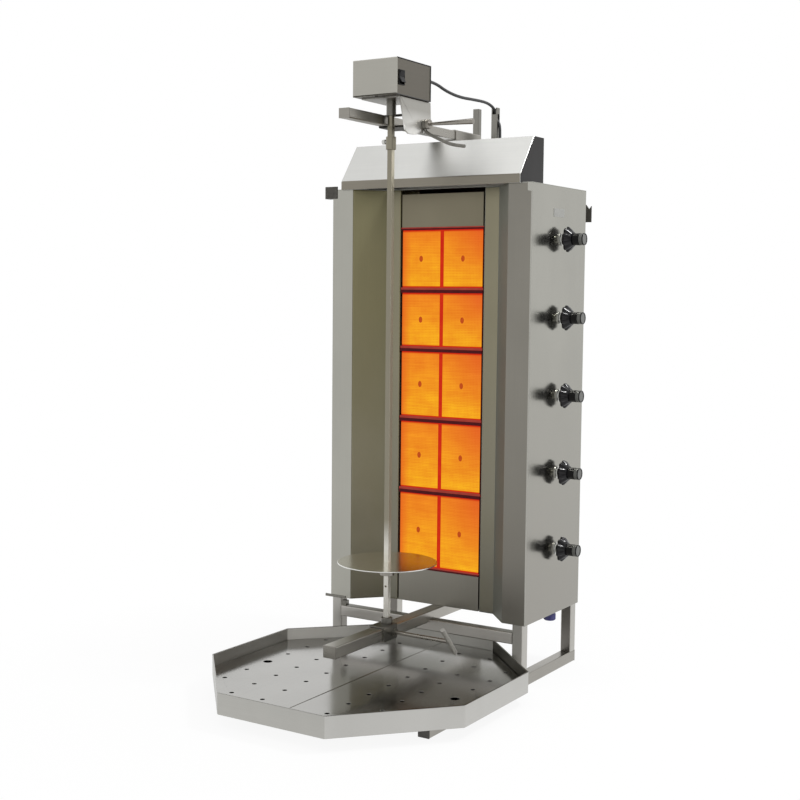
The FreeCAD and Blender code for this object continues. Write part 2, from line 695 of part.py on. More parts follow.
def make_gas_line():
    high = KNOB_HEIGHTS[0] + MANIFOLD_ABOVE
    bore = manifold_solid(MANIFOLD_BORE, 0)
    bore = bore.cut(block((0, CABINET_WIDTH), (0, CABINET_DEPTH), (high - 2 * SHEET, high)))
    manifold = manifold_solid(MANIFOLD_DIAMETER, 0).cut(bore)
    taps = []
    feeds = []
    inner = HALF_WIDTH - SHEET
    outlet_x = inner - TAP_LENGTH
    for knob_z, burner_z in zip(KNOB_HEIGHTS, BURNER_HEIGHTS):
        body = block((outlet_x, inner), (KNOB_DEPTH - TAP_HALF_DEPTH, KNOB_DEPTH + TAP_HALF_DEPTH),
                     (knob_z - TAP_HALF_HEIGHT, knob_z + TAP_HALF_HEIGHT))
        inlet = rod((MANIFOLD_X, KNOB_DEPTH, knob_z), Y_AXIS, TAP_OUTLET_DIAMETER, MANIFOLD_BEHIND_TAPS)
        outlet = rod((outlet_x - TAP_OUTLET, KNOB_DEPTH, knob_z), X_AXIS, TAP_OUTLET_DIAMETER, TAP_OUTLET + 2)
        tap = union([body, inlet, outlet]).cut(manifold_solid(MANIFOLD_DIAMETER, 1))
        bore_diameter = SPINDLE_DIAMETER + 2 * SPINDLE_CLEARANCE
        bore_start = (inner - SPINDLE_INSIDE - OVERLAP, KNOB_DEPTH, knob_z)
        tap = tap.cut(rod(bore_start, X_AXIS, bore_diameter, CABINET_WIDTH))
        taps.append(max(tap.Solids, key=lambda solid: solid.Volume))
        start_x = outlet_x - TAP_OUTLET
        end_x = MIXER_MOUTH - FEED_IN_MOUTH
        bend = (start_x - MIXER_MOUTH) / 3
        route = [(start_x, KNOB_DEPTH, knob_z), (start_x - bend, KNOB_DEPTH, knob_z),
                 (start_x - 2 * bend, MIXER_DEPTH, burner_z), (end_x, MIXER_DEPTH, burner_z)]
        feeds.append(bent_rod("feed pipe", route, FEED_DIAMETER))
    cap_low = CABINET_BASE - MANIFOLD_BELOW - CAP_WALL - TRAY_CLEARANCE
    cap = rod((MANIFOLD_X, MANIFOLD_Y, cap_low), Z_AXIS, CAP_DIAMETER, CAP_HEIGHT)
    cap = cap.cut(rod((MANIFOLD_X, MANIFOLD_Y, cap_low + CAP_WALL), Z_AXIS,
                      MANIFOLD_DIAMETER + 2 * CAP_CLEARANCE, CAP_HEIGHT))
    save("gas_pipes", manifold, *feeds)
    save("gas_taps", *taps)
    save("inlet_cap", cap)


# Knobs on the right side
def make_knobs():
    bezels = []
    start = HALF_WIDTH - SHEET - SPINDLE_INSIDE
    for k, z in enumerate(KNOB_HEIGHTS):
        skirt_x = HALF_WIDTH + KNOB_STANDOFF
        grip_x = skirt_x + SKIRT_THICKNESS
        spindle = rod((start, KNOB_DEPTH, z), X_AXIS, SPINDLE_DIAMETER, skirt_x - start + 1)
        rim = rod((skirt_x, KNOB_DEPTH, z), X_AXIS, SKIRT_DIAMETER, SKIRT_RIM)
        taper_start = (skirt_x + SKIRT_RIM, KNOB_DEPTH, z)
        taper = cone(taper_start, X_AXIS, SKIRT_DIAMETER, SKIRT_NECK, SKIRT_THICKNESS - SKIRT_RIM)
        skirt = union([rim, taper])
        for lobe in range(SKIRT_LOBES):
            angle = 2 * math.pi * (lobe + 0.5) / SKIRT_LOBES
            y = KNOB_DEPTH + (SKIRT_DIAMETER / 2 + LOBE_OUTSIDE) * math.cos(angle)
            notch_z = z + (SKIRT_DIAMETER / 2 + LOBE_OUTSIDE) * math.sin(angle)
            skirt = skirt.cut(rod((skirt_x - 1, y, notch_z), X_AXIS, LOBE_DIAMETER, SKIRT_THICKNESS + 2))
        grip = rod((grip_x - 1, KNOB_DEPTH, z), X_AXIS, GRIP_DIAMETER, GRIP_LENGTH + 1)
        recess_x = grip_x + GRIP_LENGTH - GRIP_RECESS
        grip = grip.cut(rod((recess_x, KNOB_DEPTH, z), X_AXIS, GRIP_DIAMETER - 2 * GRIP_RIM, GRIP_RECESS + 1))
        save("knob_" + str(k + 1), union([spindle, skirt, grip]))
        ring = rod((HALF_WIDTH, KNOB_DEPTH, z), X_AXIS, BEZEL_DIAMETER, BEZEL_THICKNESS)
        step = rod((HALF_WIDTH, KNOB_DEPTH, z), X_AXIS, BEZEL_STEP_DIAMETER, 2 * BEZEL_THICKNESS)
        bore = rod((HALF_WIDTH - 1, KNOB_DEPTH, z), X_AXIS, SPINDLE_HOLE, KNOB_STANDOFF)
        bezels.append(union([ring, step]).cut(bore))
    save("knob_bezels", *bezels)


# Posts, top rail and socket
def make_top_support():
    posts = []
    for side in (-1, 1):
        x = (side * POST_X - POST / 2, side * POST_X + POST / 2)
        y = (POST_Y, POST_Y + POST)
        posts.append(tube(x, y, (CABINET_TOP - POST_BELOW, POST_TOP), "z", POST_WALL))
    notch_half = POST_SLOT_WIDTH / 2
    notch = block((POST_X - notch_half, POST_X + notch_half), (POST_Y - 1, POST_Y + POST / 2),
                  (POST_TOP - POST_NOTCH, POST_TOP + 1))
    slot = block((POST_X, POST_X + POST), (TAIL_Y - notch_half, TAIL_Y + notch_half),
                 (POST_TOP - POST_SLOT_BOTTOM, POST_TOP - POST_SLOT_TOP))
    posts[1] = posts[1].cut(notch).cut(slot)
    rail_y = (END_CAP - TOP_RAIL_REACH, POST_Y)
    rail = tube((RAIL_LEFT, RAIL_RIGHT), rail_y, (RAIL_LOW, RAIL_HIGH), "y", TUBE_WALL)
    grow = SOCKET_CLEARANCE + SOCKET_WALL
    socket = tube((RAIL_LEFT - grow, RAIL_RIGHT + grow), (POST_Y - SOCKET_LENGTH, POST_Y),
                  (RAIL_LOW - grow, RAIL_HIGH + grow), "y", SOCKET_WALL)
    save("rear_posts", *posts)
    save("top_rail", rail)
    save("rail_socket", socket)


# Motor box with its clamp
def make_motor_box():
    low = BOX_LOW
    cover_plan = [(BOX_FRONT, low + BOX_SHEET), (BOX_FRONT, BOX_HIGH), (BOX_BACK, BOX_HIGH),
                  (BOX_BACK, low + BOX_SHEET)]
    wrap = prism([(-BOX_HALF, y, z) for y, z in folded(cover_plan, BOX_SHEET)], point(BOX_WIDTH, 0, 0))
    inner_x = (-BOX_HALF + BOX_SHEET + 2 * SIDE_RECESS, BOX_HALF - BOX_SHEET - 2 * SIDE_RECESS)
    lip_z = (low + BOX_SHEET, low + 2 * BOX_SHEET)
    front_lip = block(inner_x, (BOX_FRONT, BOX_FRONT + COVER_LIP), lip_z)
    back_lip = block(inner_x, (BOX_BACK - COVER_LIP, BOX_BACK), lip_z)
    screw_spots = [BOX_FRONT + SCREW_INSET, BOX_BACK - SCREW_INSET]
    cover = union([wrap, front_lip, back_lip])
    floor = block((-BOX_HALF, BOX_HALF), (BOX_FRONT, BOX_BACK), (low, low + BOX_SHEET))
    side_y = (BOX_FRONT + BOX_SHEET + SEAM, BOX_BACK - BOX_SHEET - SEAM)
    side_z = (low + BOX_SHEET, BOX_HIGH - BOX_SHEET - SEAM)
    plates = []
    for side in (-1, 1):
        a = side * (BOX_HALF - SIDE_RECESS)
        b = side * (BOX_HALF - SIDE_RECESS - BOX_SHEET)
        plates.append(block((min(a, b), max(a, b)), side_y, side_z))
    tray = union([floor] + plates)
    hole = SCREW_SHANK + 0.2
    screws = []
    for y in screw_spots:
        cover = cover.cut(rod((0, y, low), Z_AXIS, hole, 4 * BOX_SHEET))
        tray = tray.cut(rod((0, y, low - 1), Z_AXIS, hole, 4 * BOX_SHEET))
        head = rod((0, y, low - SCREW_HEAD_HEIGHT), Z_AXIS, SCREW_HEAD, SCREW_HEAD_HEIGHT)
        shank = rod((0, y, low - 1), Z_AXIS, SCREW_SHANK, 1 + 3 * BOX_SHEET)
        screws.append(union([head, shank]))
    bush_hole = rod((0, SPIT_Y, low - 2 * BRACKET_SHEET), Z_AXIS, BUSH_NECK + 0.2, 4 * BRACKET_SHEET)
    tray = tray.cut(bush_hole)
    switch_y = SPIT_Y - SWITCH_AHEAD
    switch_z = low + SWITCH_RISE
    half_y = SWITCH_WIDTH / 2 - SWITCH_RIM_LAP
    half_z = SWITCH_HEIGHT / 2 - SWITCH_RIM_LAP
    body_y = (switch_y - half_y, switch_y + half_y)
    body_z = (switch_z - half_z, switch_z + half_z)
    tray = tray.cut(block((0, BOX_WIDTH), body_y, body_z))
    save("motor_cover", cover)
    save("motor_tray", tray)
    save("cover_screws", *screws)
    make_bracket(bush_hole)
    make_switch(switch_y, switch_z, body_y, body_z)


def make_bracket(bush_hole):
    """Top plate under the box, cheek beside the rail, and the jaw and shoe that hold the rail."""
    sheet = BRACKET_SHEET
    plate_back = BOX_BACK - SCREW_INSET - SCREW_HEAD
    plate_front = BOX_FRONT + BRACKET_SETBACK
    plate = block((-CHEEK_X, CHEEK_X + sheet), (plate_front, plate_back), (BOX_LOW - sheet, BOX_LOW))
    jaw_front = SPIT_Y + JAW_BEHIND_SPIT
    jaw_back = jaw_front + JAW_DEPTH
    jaw_top = RAIL_LOW - SLIDE_CLEARANCE
    shoe_low = RAIL_HIGH + SLIDE_CLEARANCE
    cheek_low = jaw_top - CHEEK_BELOW_JAW
    cheek_outline = [
        (plate_front, BOX_LOW),
        (BOX_BACK + CHEEK_TOP_BACK, BOX_LOW),
        (BOX_BACK + CHEEK_WAIST_BACK, BOX_LOW - CHEEK_WAIST_DROP),
        (CLAMP_Y + CHEEK_LOBE_BACK, CLAMP_Z - CHEEK_LOBE),
        (CLAMP_Y - CHEEK_HEEL, cheek_low + CHEEK_HEEL_RISE),
        (SPIT_Y + CHEEK_TOE_BACK, cheek_low),
        (SPIT_Y - CHEEK_TOE_FRONT, cheek_low),
        (SPIT_Y - CHEEK_CHIN, cheek_low + CHEEK_CHIN_RISE),
    ]
    cheek = prism([(CHEEK_X, y, z) for y, z in cheek_outline], point(sheet, 0, 0))
    cheek = cheek.fuse(rod((CHEEK_X, CLAMP_Y, CLAMP_Z), X_AXIS, 2 * CHEEK_LOBE, sheet))
    lip_x = (RAIL_LEFT - SLIDE_CLEARANCE - sheet, RAIL_LEFT - SLIDE_CLEARANCE)
    jaw = block((lip_x[0], CHEEK_X + 1), (jaw_front, jaw_back), (jaw_top - sheet, jaw_top))
    lip = block(lip_x, (jaw_front, jaw_back), (jaw_top - sheet, shoe_low + sheet))
    shoe = block((lip_x[0], CHEEK_X + 1), (jaw_front, jaw_front + SHOE_DEPTH), (shoe_low, shoe_low + sheet))
    bracket = union([plate, cheek, jaw, lip, shoe]).cut(bush_hole)
    clamp_hole = rod((0, CLAMP_Y, CLAMP_Z), X_AXIS, CLAMP_DIAMETER + 2 * RUN_CLEARANCE, BOX_WIDTH)
    save("motor_bracket", bracket.cut(clamp_hole))


def make_switch(y, z, body_y, body_z):
    outside = BOX_HALF - SIDE_RECESS
    rim = block((outside, outside + SWITCH_RIM), (y - SWITCH_WIDTH / 2, y + SWITCH_WIDTH / 2),
                (z - SWITCH_HEIGHT / 2, z + SWITCH_HEIGHT / 2))
    body = block((outside - SWITCH_BODY, outside + 1), body_y, body_z)
    wall = SWITCH_WALL
    hollow_y = (body_y[0] + wall, body_y[1] - wall)
    hollow_z = (body_z[0] + wall - 1, body_z[1] - wall + 1)
    hollow = block((outside - SWITCH_BODY + wall, BOX_WIDTH), hollow_y, hollow_z)
    pivot_x = outside - ROCKER_PIVOT_DEPTH
    pin_hole = rod((pivot_x, body_y[0] - 1, z), Y_AXIS, ROCKER_PIN + 2 * RUN_CLEARANCE, SWITCH_WIDTH)
    bezel = union([rim, body]).cut(hollow).cut(pin_hole)
    half = (hollow_z[1] - hollow_z[0]) / 2 - ROCKER_MARGIN
    face = outside + SWITCH_RIM + ROCKER_PROUD
    back = pivot_x - ROCKER_ROOT
    rocker_y = (hollow_y[0] + ROCKER_CLEARANCE, hollow_y[1] - ROCKER_CLEARANCE)
    outline = [(back, z - half + ROCKER_TAPER), (face, z - half), (face - ROCKER_DISH, z), (face, z + half),
               (back, z + half - ROCKER_TAPER)]
    rocker = prism([(x, rocker_y[0], zz) for x, zz in outline], point(0, rocker_y[1] - rocker_y[0], 0))
    pin_y = body_y[0] + ROCKER_CLEARANCE
    pin_length = body_y[1] - body_y[0] - 2 * ROCKER_CLEARANCE
    rocker = union([rocker, rod((pivot_x, pin_y, z), Y_AXIS, ROCKER_PIN, pin_length)])
    rocker.rotate(point(pivot_x, y, z), Y_AXIS, -ROCKER_TILT)
    save("switch_bezel", bezel)
    save("rocker_switch", rocker)
    print("rocker pivot", round(pivot_x, 3), round(y + FRONT_Y, 3), round(z, 3))


def make_clamps():
    """The screw that presses on the rail, its bar, and the curved hand lever behind the hub."""
    outer = CHEEK_X + BRACKET_SHEET
    lever_x = outer + HUB_GAP
    hub_x = lever_x + HUB_LENGTH + HUB_GAP
    bar_x = hub_x + HUB_LENGTH
    screw = rod((RAIL_RIGHT + TIP_GAP, CLAMP_Y, CLAMP_Z), X_AXIS, CLAMP_DIAMETER, bar_x - RAIL_RIGHT)
    hub = rod((hub_x, CLAMP_Y, CLAMP_Z), X_AXIS, HUB_DIAMETER, HUB_LENGTH)
    bar_start = (bar_x - OVERLAP, CLAMP_Y, CLAMP_Z)
    bar = cone(bar_start, X_AXIS, CLAMP_DIAMETER, CLAMP_BAR_END, CLAMP_BAR_REACH - bar_x)
    save("top_clamp_screw", union([screw, hub, bar]))
    ring = rod((lever_x, CLAMP_Y, CLAMP_Z), X_AXIS, HUB_DIAMETER, HUB_LENGTH)
    middle = lever_x + HUB_LENGTH / 2
    drop = HUB_DIAMETER / 2
    route = [(middle + out, CLAMP_Y, CLAMP_Z - drop - down) for out, down in LEVER_BENDS]
    lever = bent_rod("clamp lever", route, LEVER_DIAMETER)
    bore = rod((lever_x - 1, CLAMP_Y, CLAMP_Z), X_AXIS, CLAMP_DIAMETER + 2 * RUN_CLEARANCE, HUB_LENGTH + 2)
    save("top_clamp_lever", union([ring, lever]).cut(bore))


# Motor, gears and output shaft
def make_drive():
    gear_z = BOX_LOW + GEAR_RISE
    bush_low = BOX_LOW - BRACKET_SHEET - BUSH_LENGTH
    neck_top = BOX_LOW + BUSH_ABOVE
    bush = union([
        rod((0, SPIT_Y, bush_low), Z_AXIS, BUSH_DIAMETER, BUSH_LENGTH),
        rod((0, SPIT_Y, bush_low), Z_AXIS, BUSH_NECK, neck_top - bush_low),
    ])
    bush = bush.cut(rod((0, SPIT_Y, bush_low - 1), Z_AXIS, SHAFT_DIAMETER + 2 * RUN_CLEARANCE, BOX_HEIGHT))
    square_top = SPIT_TOP + SLEEVE_ABOVE_JOINT + SLEEVE_LIFT + SQUARE_SPARE
    side = SPIT_SIDE / 2
    square = block((-side, side), (SPIT_Y - side, SPIT_Y + side), (SPIT_TOP, square_top))
    shaft_top = gear_z + GEAR_THICKNESS + SHAFT_ABOVE_GEAR
    shaft = union([square, rod((0, SPIT_Y, square_top), Z_AXIS, SHAFT_DIAMETER, shaft_top - square_top)])
    gear = gear_blank(GEAR_TEETH, GEAR_THICKNESS, 0, SPIT_Y, gear_z, math.pi / 2)
    hub_low = neck_top + HUB_GAP
    hub = rod((0, SPIT_Y, hub_low), Z_AXIS, GEAR_HUB, gear_z - hub_low)
    gear_bore = SHAFT_DIAMETER + 2 * GEAR_FIT
    gear = gear.fuse(hub).cut(rod((0, SPIT_Y, hub_low - 1), Z_AXIS, gear_bore, BOX_HEIGHT))
    pinion_low = gear_z - (PINION_THICKNESS - GEAR_THICKNESS) / 2
    half_tooth = math.pi / PINION_TEETH
    pinion = gear_blank(PINION_TEETH, PINION_THICKNESS, 0, PINION_Y, pinion_low, half_tooth - math.pi / 2)
    plate_low = BOX_LOW + MOTOR_PLATE_RISE
    plate_top = plate_low + MOTOR_PLATE
    spindle_top = plate_top + MOTOR_SHAFT_ABOVE
    spindle = rod((0, PINION_Y, pinion_low), Z_AXIS, MOTOR_SHAFT, spindle_top - pinion_low)
    pinion = union([pinion, spindle])
    can = rod((0, PINION_Y, plate_top), Z_AXIS, MOTOR_DIAMETER, MOTOR_LENGTH)
    plate_reach = MOTOR_DIAMETER / 2 + MOTOR_PLATE_MARGIN
    plate_y = (PINION_Y - plate_reach, PINION_Y + plate_reach)
    half = MOTOR_PLATE_HALF_WIDTH
    plate = block((-half, half), plate_y, (plate_low, plate_top))
    pieces = [can, plate]
    for x in (MOTOR_LEG - half, half - MOTOR_LEG):
        for y in (plate_y[0] + MOTOR_LEG, plate_y[1] - MOTOR_LEG):
            foot = BOX_LOW + BOX_SHEET
            pieces.append(rod((x, y, foot), Z_AXIS, MOTOR_LEG, plate_low - foot))
    bore_length = spindle_top - plate_low + MOTOR_BORE_SPARE
    bore = rod((0, PINION_Y, plate_low - 1), Z_AXIS, MOTOR_SHAFT + 2 * RUN_CLEARANCE, bore_length)
    save("gear_motor", union(pieces).cut(bore))
    save("motor_pinion", pinion)
    save("output_gear", gear)
    save("output_shaft", shaft)
    save("output_bearing", bush)


# Spit with its coupling sleeve and meat disc
def make_spit():
    side = SPIT_SIDE / 2
    shoulder = SADDLE_TOP + FOOT_BUSH_HEIGHT + SLIP
    spit = block((-side, side), (SPIT_Y - side, SPIT_Y + side), (shoulder, SPIT_TOP))
    pin_low = SADDLE_TOP + SLIDE_CLEARANCE
    spit = union([spit, rod((0, SPIT_Y, pin_low), Z_AXIS, SPIT_PIN, shoulder - pin_low)])
    spit = spit.cut(rod((0, SPIT_Y - SPIT_SIDE, SPIT_HOLE_HEIGHT), Y_AXIS, SPIT_HOLE, 2 * SPIT_SIDE))
    slot_half = side + SLIP
    sleeve_top = SPIT_TOP + SLEEVE_ABOVE_JOINT
    sleeve_low = sleeve_top - SLEEVE_LENGTH
    screw_z = SPIT_TOP + SLEEVE_SCREW_RISE
    sleeve = rod((0, SPIT_Y, sleeve_low), Z_AXIS, SLEEVE_DIAMETER, SLEEVE_LENGTH)
    square = ((-slot_half, slot_half), (SPIT_Y - slot_half, SPIT_Y + slot_half))
    sleeve = sleeve.cut(block(*square, (sleeve_low - 1, sleeve_top + 1)))
    thread = THUMB_SCREW + 2 * RUN_CLEARANCE
    sleeve = sleeve.cut(rod((-SLEEVE_DIAMETER, SPIT_Y, screw_z), X_AXIS, thread, SLEEVE_DIAMETER))
    tip = -side - TIP_GAP
    sleeve_screw = thumb_screw(tip, -SLEEVE_DIAMETER / 2, SPIT_Y, screw_z)
    disc_low = DISC_TOP - DISC_THICKNESS
    hub_low = disc_low - DISC_HUB_HEIGHT
    disc = union([
        rod((0, SPIT_Y, disc_low), Z_AXIS, DISC_DIAMETER, DISC_THICKNESS),
        rod((0, SPIT_Y, hub_low), Z_AXIS, DISC_HUB_DIAMETER, DISC_HUB_HEIGHT),
    ])
    disc = disc.cut(block(*square, (hub_low - 1, DISC_TOP + 1)))
    disc_screw_z = hub_low + THUMB_HEAD / 2 + DISC_SCREW_RISE
    disc = disc.cut(rod((-DISC_HUB_DIAMETER, SPIT_Y, disc_screw_z), X_AXIS, thread, DISC_HUB_DIAMETER))
    disc_screw = thumb_screw(tip, -DISC_HUB_DIAMETER / 2, SPIT_Y, disc_screw_z)
    save("spit", spit)
    save("coupling_sleeve", sleeve)
    save("coupling_screw", sleeve_screw)
    save("meat_disc", disc)
    save("disc_screw", disc_screw)
    print("thumb screws at height", screw_z, disc_screw_z)


# Foot carriage on the bottom rail
def make_foot_carriage():
    half = FOOT_RAIL_WIDTH / 2 + SLIDE_CLEARANCE + SADDLE_WALL
    front = SPIT_Y - SADDLE_AHEAD
    y = (front, front + SADDLE_LENGTH)
    z = (FOOT_RAIL_LOW - SLIDE_CLEARANCE - SADDLE_WALL, SADDLE_TOP)
    saddle = tube((-half, half), y, z, "y", SADDLE_WALL)
    boss_x = half - OVERLAP
    boss = rod((boss_x, SPIT_Y, FOOT_ROD_HEIGHT), X_AXIS, FOOT_BOSS_DIAMETER, FOOT_BOSS_LENGTH + OVERLAP)
    saddle = union([saddle, boss])
    thread = FOOT_ROD + 2 * RUN_CLEARANCE
    saddle = saddle.cut(rod((0, SPIT_Y, FOOT_ROD_HEIGHT), X_AXIS, thread, FOOT_BAR_X))
    bush = rod((0, SPIT_Y, SADDLE_TOP), Z_AXIS, FOOT_BUSH_DIAMETER, FOOT_BUSH_HEIGHT)
    pin_bore = SPIT_PIN + 2 * RUN_CLEARANCE
    bush = bush.cut(rod((0, SPIT_Y, SADDLE_TOP - 1), Z_AXIS, pin_bore, 2 * FOOT_BUSH_HEIGHT))
    bar_start = (FOOT_BAR_X, SPIT_Y, FOOT_ROD_HEIGHT - FOOT_BAR_LENGTH / 2)
    bar = rod(bar_start, Z_AXIS, FOOT_BAR, FOOT_BAR_LENGTH)
    bar = around_x(bar, 90 - FOOT_BAR_ANGLE, SPIT_Y, FOOT_ROD_HEIGHT)
    tip = FOOT_RAIL_WIDTH / 2 + TIP_GAP
    screw = rod((tip, SPIT_Y, FOOT_ROD_HEIGHT), X_AXIS, FOOT_ROD, FOOT_BAR_X - tip)
    save("foot_saddle", saddle)
    save("foot_bearing", bush)
    save("foot_clamp_screw", screw.cut(bar))
    save("foot_clamp_handle", bar)


# Drip tray with its two perforated inserts
def octagon(gap, z):
    """Corners of the tray's outline, drawn in by the gap on every side."""
    half = TRAY_HALF_WIDTH - gap
    front = -TRAY_REACH + gap
    back = TRAY_BACK - gap
    front_slope = math.hypot(FRONT_CUT_X, FRONT_CUT_Y)
    rear_slope = math.hypot(REAR_CUT_X, REAR_CUT_Y)
    front_x = FRONT_CUT_X + gap * (front_slope / FRONT_CUT_Y - 1 - FRONT_CUT_X / FRONT_CUT_Y)
    front_y = FRONT_CUT_Y + gap * (front_slope / FRONT_CUT_X - 1 - FRONT_CUT_Y / FRONT_CUT_X)
    rear_x = REAR_CUT_X + gap * (rear_slope / REAR_CUT_Y - 1 - REAR_CUT_X / REAR_CUT_Y)
    rear_y = REAR_CUT_Y + gap * (rear_slope / REAR_CUT_X - 1 - REAR_CUT_Y / REAR_CUT_X)
    right = [(half - front_x, front), (half, front + front_y), (half, back - rear_y), (half - rear_x, back)]
    corners = right + [(-x, y) for x, y in reversed(right)]
    return [(x, y, z) for x, y in corners]


def make_tray():
    floor = TRAY_LOW + SHEET
    top = TRAY_LOW + TRAY_HEIGHT
    tray = prism(octagon(0, TRAY_LOW), point(0, 0, TRAY_HEIGHT))
    tray = tray.cut(prism(octagon(SHEET, floor), point(0, 0, TRAY_HEIGHT)))
    plate_top = TRAY_LOW + INSERT_TOP
    outer = prism(octagon(SHEET + INSERT_GAP, floor), point(0, 0, plate_top - floor))
    inner = prism(octagon(2 * SHEET + INSERT_GAP, floor), point(0, 0, plate_top - SHEET - floor))
    right_half = block((INSERT_GAP / 2, TRAY_HALF_WIDTH), (-TRAY_REACH, TRAY_BACK), (0, top))
    inner_half = block((INSERT_GAP / 2 + SHEET, TRAY_HALF_WIDTH), (-TRAY_REACH, TRAY_BACK), (0, top))
    insert = outer.common(right_half).cut(inner.common(inner_half))
    safe = prism(octagon(SHEET + DRAIN_EDGE, floor), point(0, 0, TRAY_HEIGHT))
    for row in range(DRAIN_ROWS):
        y = DRAIN_FIRST_Y + DRAIN_PITCH_Y * row
        for column in range(1, DRAIN_COLUMNS + 1):
            x = DRAIN_PITCH_X * column
            finger = row == FINGER_ROW and column == DRAIN_COLUMNS
            size = FINGER_HOLE if finger else DRAIN_HOLE
            if safe.isInside(point(x, y, plate_top), 0.01, True):
                insert = insert.cut(rod((x, y, plate_top - 2 * SHEET), Z_AXIS, size, 3 * SHEET))
    save("drip_tray", tray)
    save("tray_insert_right", insert)
    save("tray_insert_left", mirrored(insert))


# Power lead from the box to the hollow post, and down beside it into the roof
TAIL_X = POST_X + POST / 2 + CABLE_DIAMETER / 2 + TAIL_GAP
TAIL_Y = POST_Y + POST / 2
GLAND_Z = BOX_LOW + GLAND_RISE
GLAND_END = BOX_BACK + GLAND_NUT_LENGTH + GLAND_LENGTH
LEAD_ROUTE = [
    (GLAND_X, GLAND_END, GLAND_Z),
    (GLAND_X, -24, GLAND_Z),
    (29.5, 24, 1263.0),
    (28.5, 84, 1258.6),
    (27.5, 148, 1261.8),
    (26.0, 205, 1263.8),
    (24.6, 241, 1258.0),
    (24.0, 256, 1247.0),
    (24.0, 256, 1240.0),
]
TAIL_ROUTE = [
    (24.0, 256, 1240.0),
    (24.0, 256, 1236.0),
    (27.5, 256, 1230.0),
    (34.8, 256, 1220.0),
    (36.6, 255.4, 1200.0),
    (36.2, 255.6, 1160.0),
    (36.6, 256, 1100.0),
    (36.55, 256, 1040.0),
]


def make_lead():
    nut = rod((GLAND_X, BOX_BACK, GLAND_Z), Y_AXIS, GLAND_NUT, GLAND_NUT_LENGTH)
    relief = cone((GLAND_X, BOX_BACK + GLAND_NUT_LENGTH, GLAND_Z), Y_AXIS, GLAND_ROOT, CABLE_DIAMETER + 1,
                  GLAND_LENGTH)
    save("cable_gland", union([nut, relief]))
    save("power_cable", bent_rod("power cable", LEAD_ROUTE, CABLE_DIAMETER))
    tail = bent_rod("cable tail", TAIL_ROUTE, CABLE_DIAMETER)
    save("cable_tail", tail)
    middle = CABINET_TOP + SHEET / 2
    lip_low = CABINET_TOP - GROMMET_LIP
    grommet = rod((TAIL_X, TAIL_Y, lip_low), Z_AXIS, ROOF_GROMMET, 2 * GROMMET_LIP + SHEET)
    band = rod((TAIL_X, TAIL_Y, middle - SHEET / 2), Z_AXIS, ROOF_GROMMET + 2, SHEET)
    core = rod((TAIL_X, TAIL_Y, middle - SHEET / 2), Z_AXIS, GROMMET_GROOVE - 0.2, SHEET)
    grommet = grommet.cut(band.cut(core))
    bore = CABLE_DIAMETER + 2 * GROMMET_CLEARANCE
    grommet = grommet.cut(rod((TAIL_X, TAIL_Y, lip_low - 1), Z_AXIS, bore, 12 * SHEET))
    grommet = grommet.cut(block((POST_X, POST_X + POST / 2), (0, CABINET_DEPTH), (0, 2 * CABINET_TOP)))
    save("cable_grommet", max(grommet.Solids, key=lambda solid: solid.Volume))


# Small dark brackets at the cabinet's corners
def make_side_brackets():
    wall = BRACKET_WALL
    top = CABINET_TOP + TOP_BRACKET_HEIGHT * 0.3
    z = (top - TOP_BRACKET_HEIGHT, top)
    outer = -HALF_WIDTH - TOP_BRACKET_OUT
    front = block((outer, TOP_BRACKET_IN - HALF_WIDTH), (-wall, 0), z)
    side = block((outer, -HALF_WIDTH), (0, TOP_BRACKET_DEPTH), (z[1] - wall, z[1]))
    under = block((outer, -HALF_WIDTH), (0, TOP_BRACKET_DEPTH), (z[0], z[0] + wall))
    end = block((outer, outer + wall), (0, TOP_BRACKET_DEPTH), z)
    top_left = union([front, side, under, end])
    hook_top = CABINET_TOP - HOOK_DROP + HOOK_HEIGHT
    hook_low = CABINET_TOP - HOOK_DROP
    middle = HALF_WIDTH + HOOK_WIDTH / 2
    tab = HALF_WIDTH - HOOK_TAB
    hook_corners = [
        (tab, hook_low), (HALF_WIDTH + HOOK_WIDTH, hook_low), (HALF_WIDTH + HOOK_WIDTH, hook_top - 3),
        (middle + 1, hook_top - 10), (HALF_WIDTH, hook_top), (tab, hook_top - 10),
    ]
    hook = prism([(x, CABINET_DEPTH, zz) for x, zz in hook_corners], point(0, wall, 0))
    under_z = CABINET_BASE
    strip_z = (under_z - 1, under_z - 1 + STRIP_THICKNESS)
    strip = block((-HALF_WIDTH - HOOK_WIDTH, -LEG_IN + HOOK_WIDTH), (-wall, 0), strip_z)
    catch = block((-LEG_IN, -LEG_IN + HOOK_WIDTH), (0, TUBE / 2), (under_z - CROSSBAR_DROP, under_z - 6))
    save("side_brackets", top_left, hook, strip, catch)


make_base_frame()
make_cabinet()
make_hood()
make_burners()
make_gas_line()
make_knobs()
make_top_support()
make_motor_box()
make_clamps()
make_drive()
make_spit()
make_foot_carriage()
make_tray()
make_lead()
make_side_brackets()
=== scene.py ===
# %% [markdown]
# # A doner kebab grill, finished around its fixed frame
#
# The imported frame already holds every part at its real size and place, so this notebook adds what a
# drawing of sheets and bars leaves out: rounded folds, soft edges, brushed steel, the perforated
# radiants, moulded knobs and the power lead. Parts are never moved. A part whose shape is right only
# gets a material, and one that needs more detail is hidden and stood for by a finer piece.

# %% Load the frame
import json
import math

import bmesh
import bpy
from mathutils import Matrix, Vector


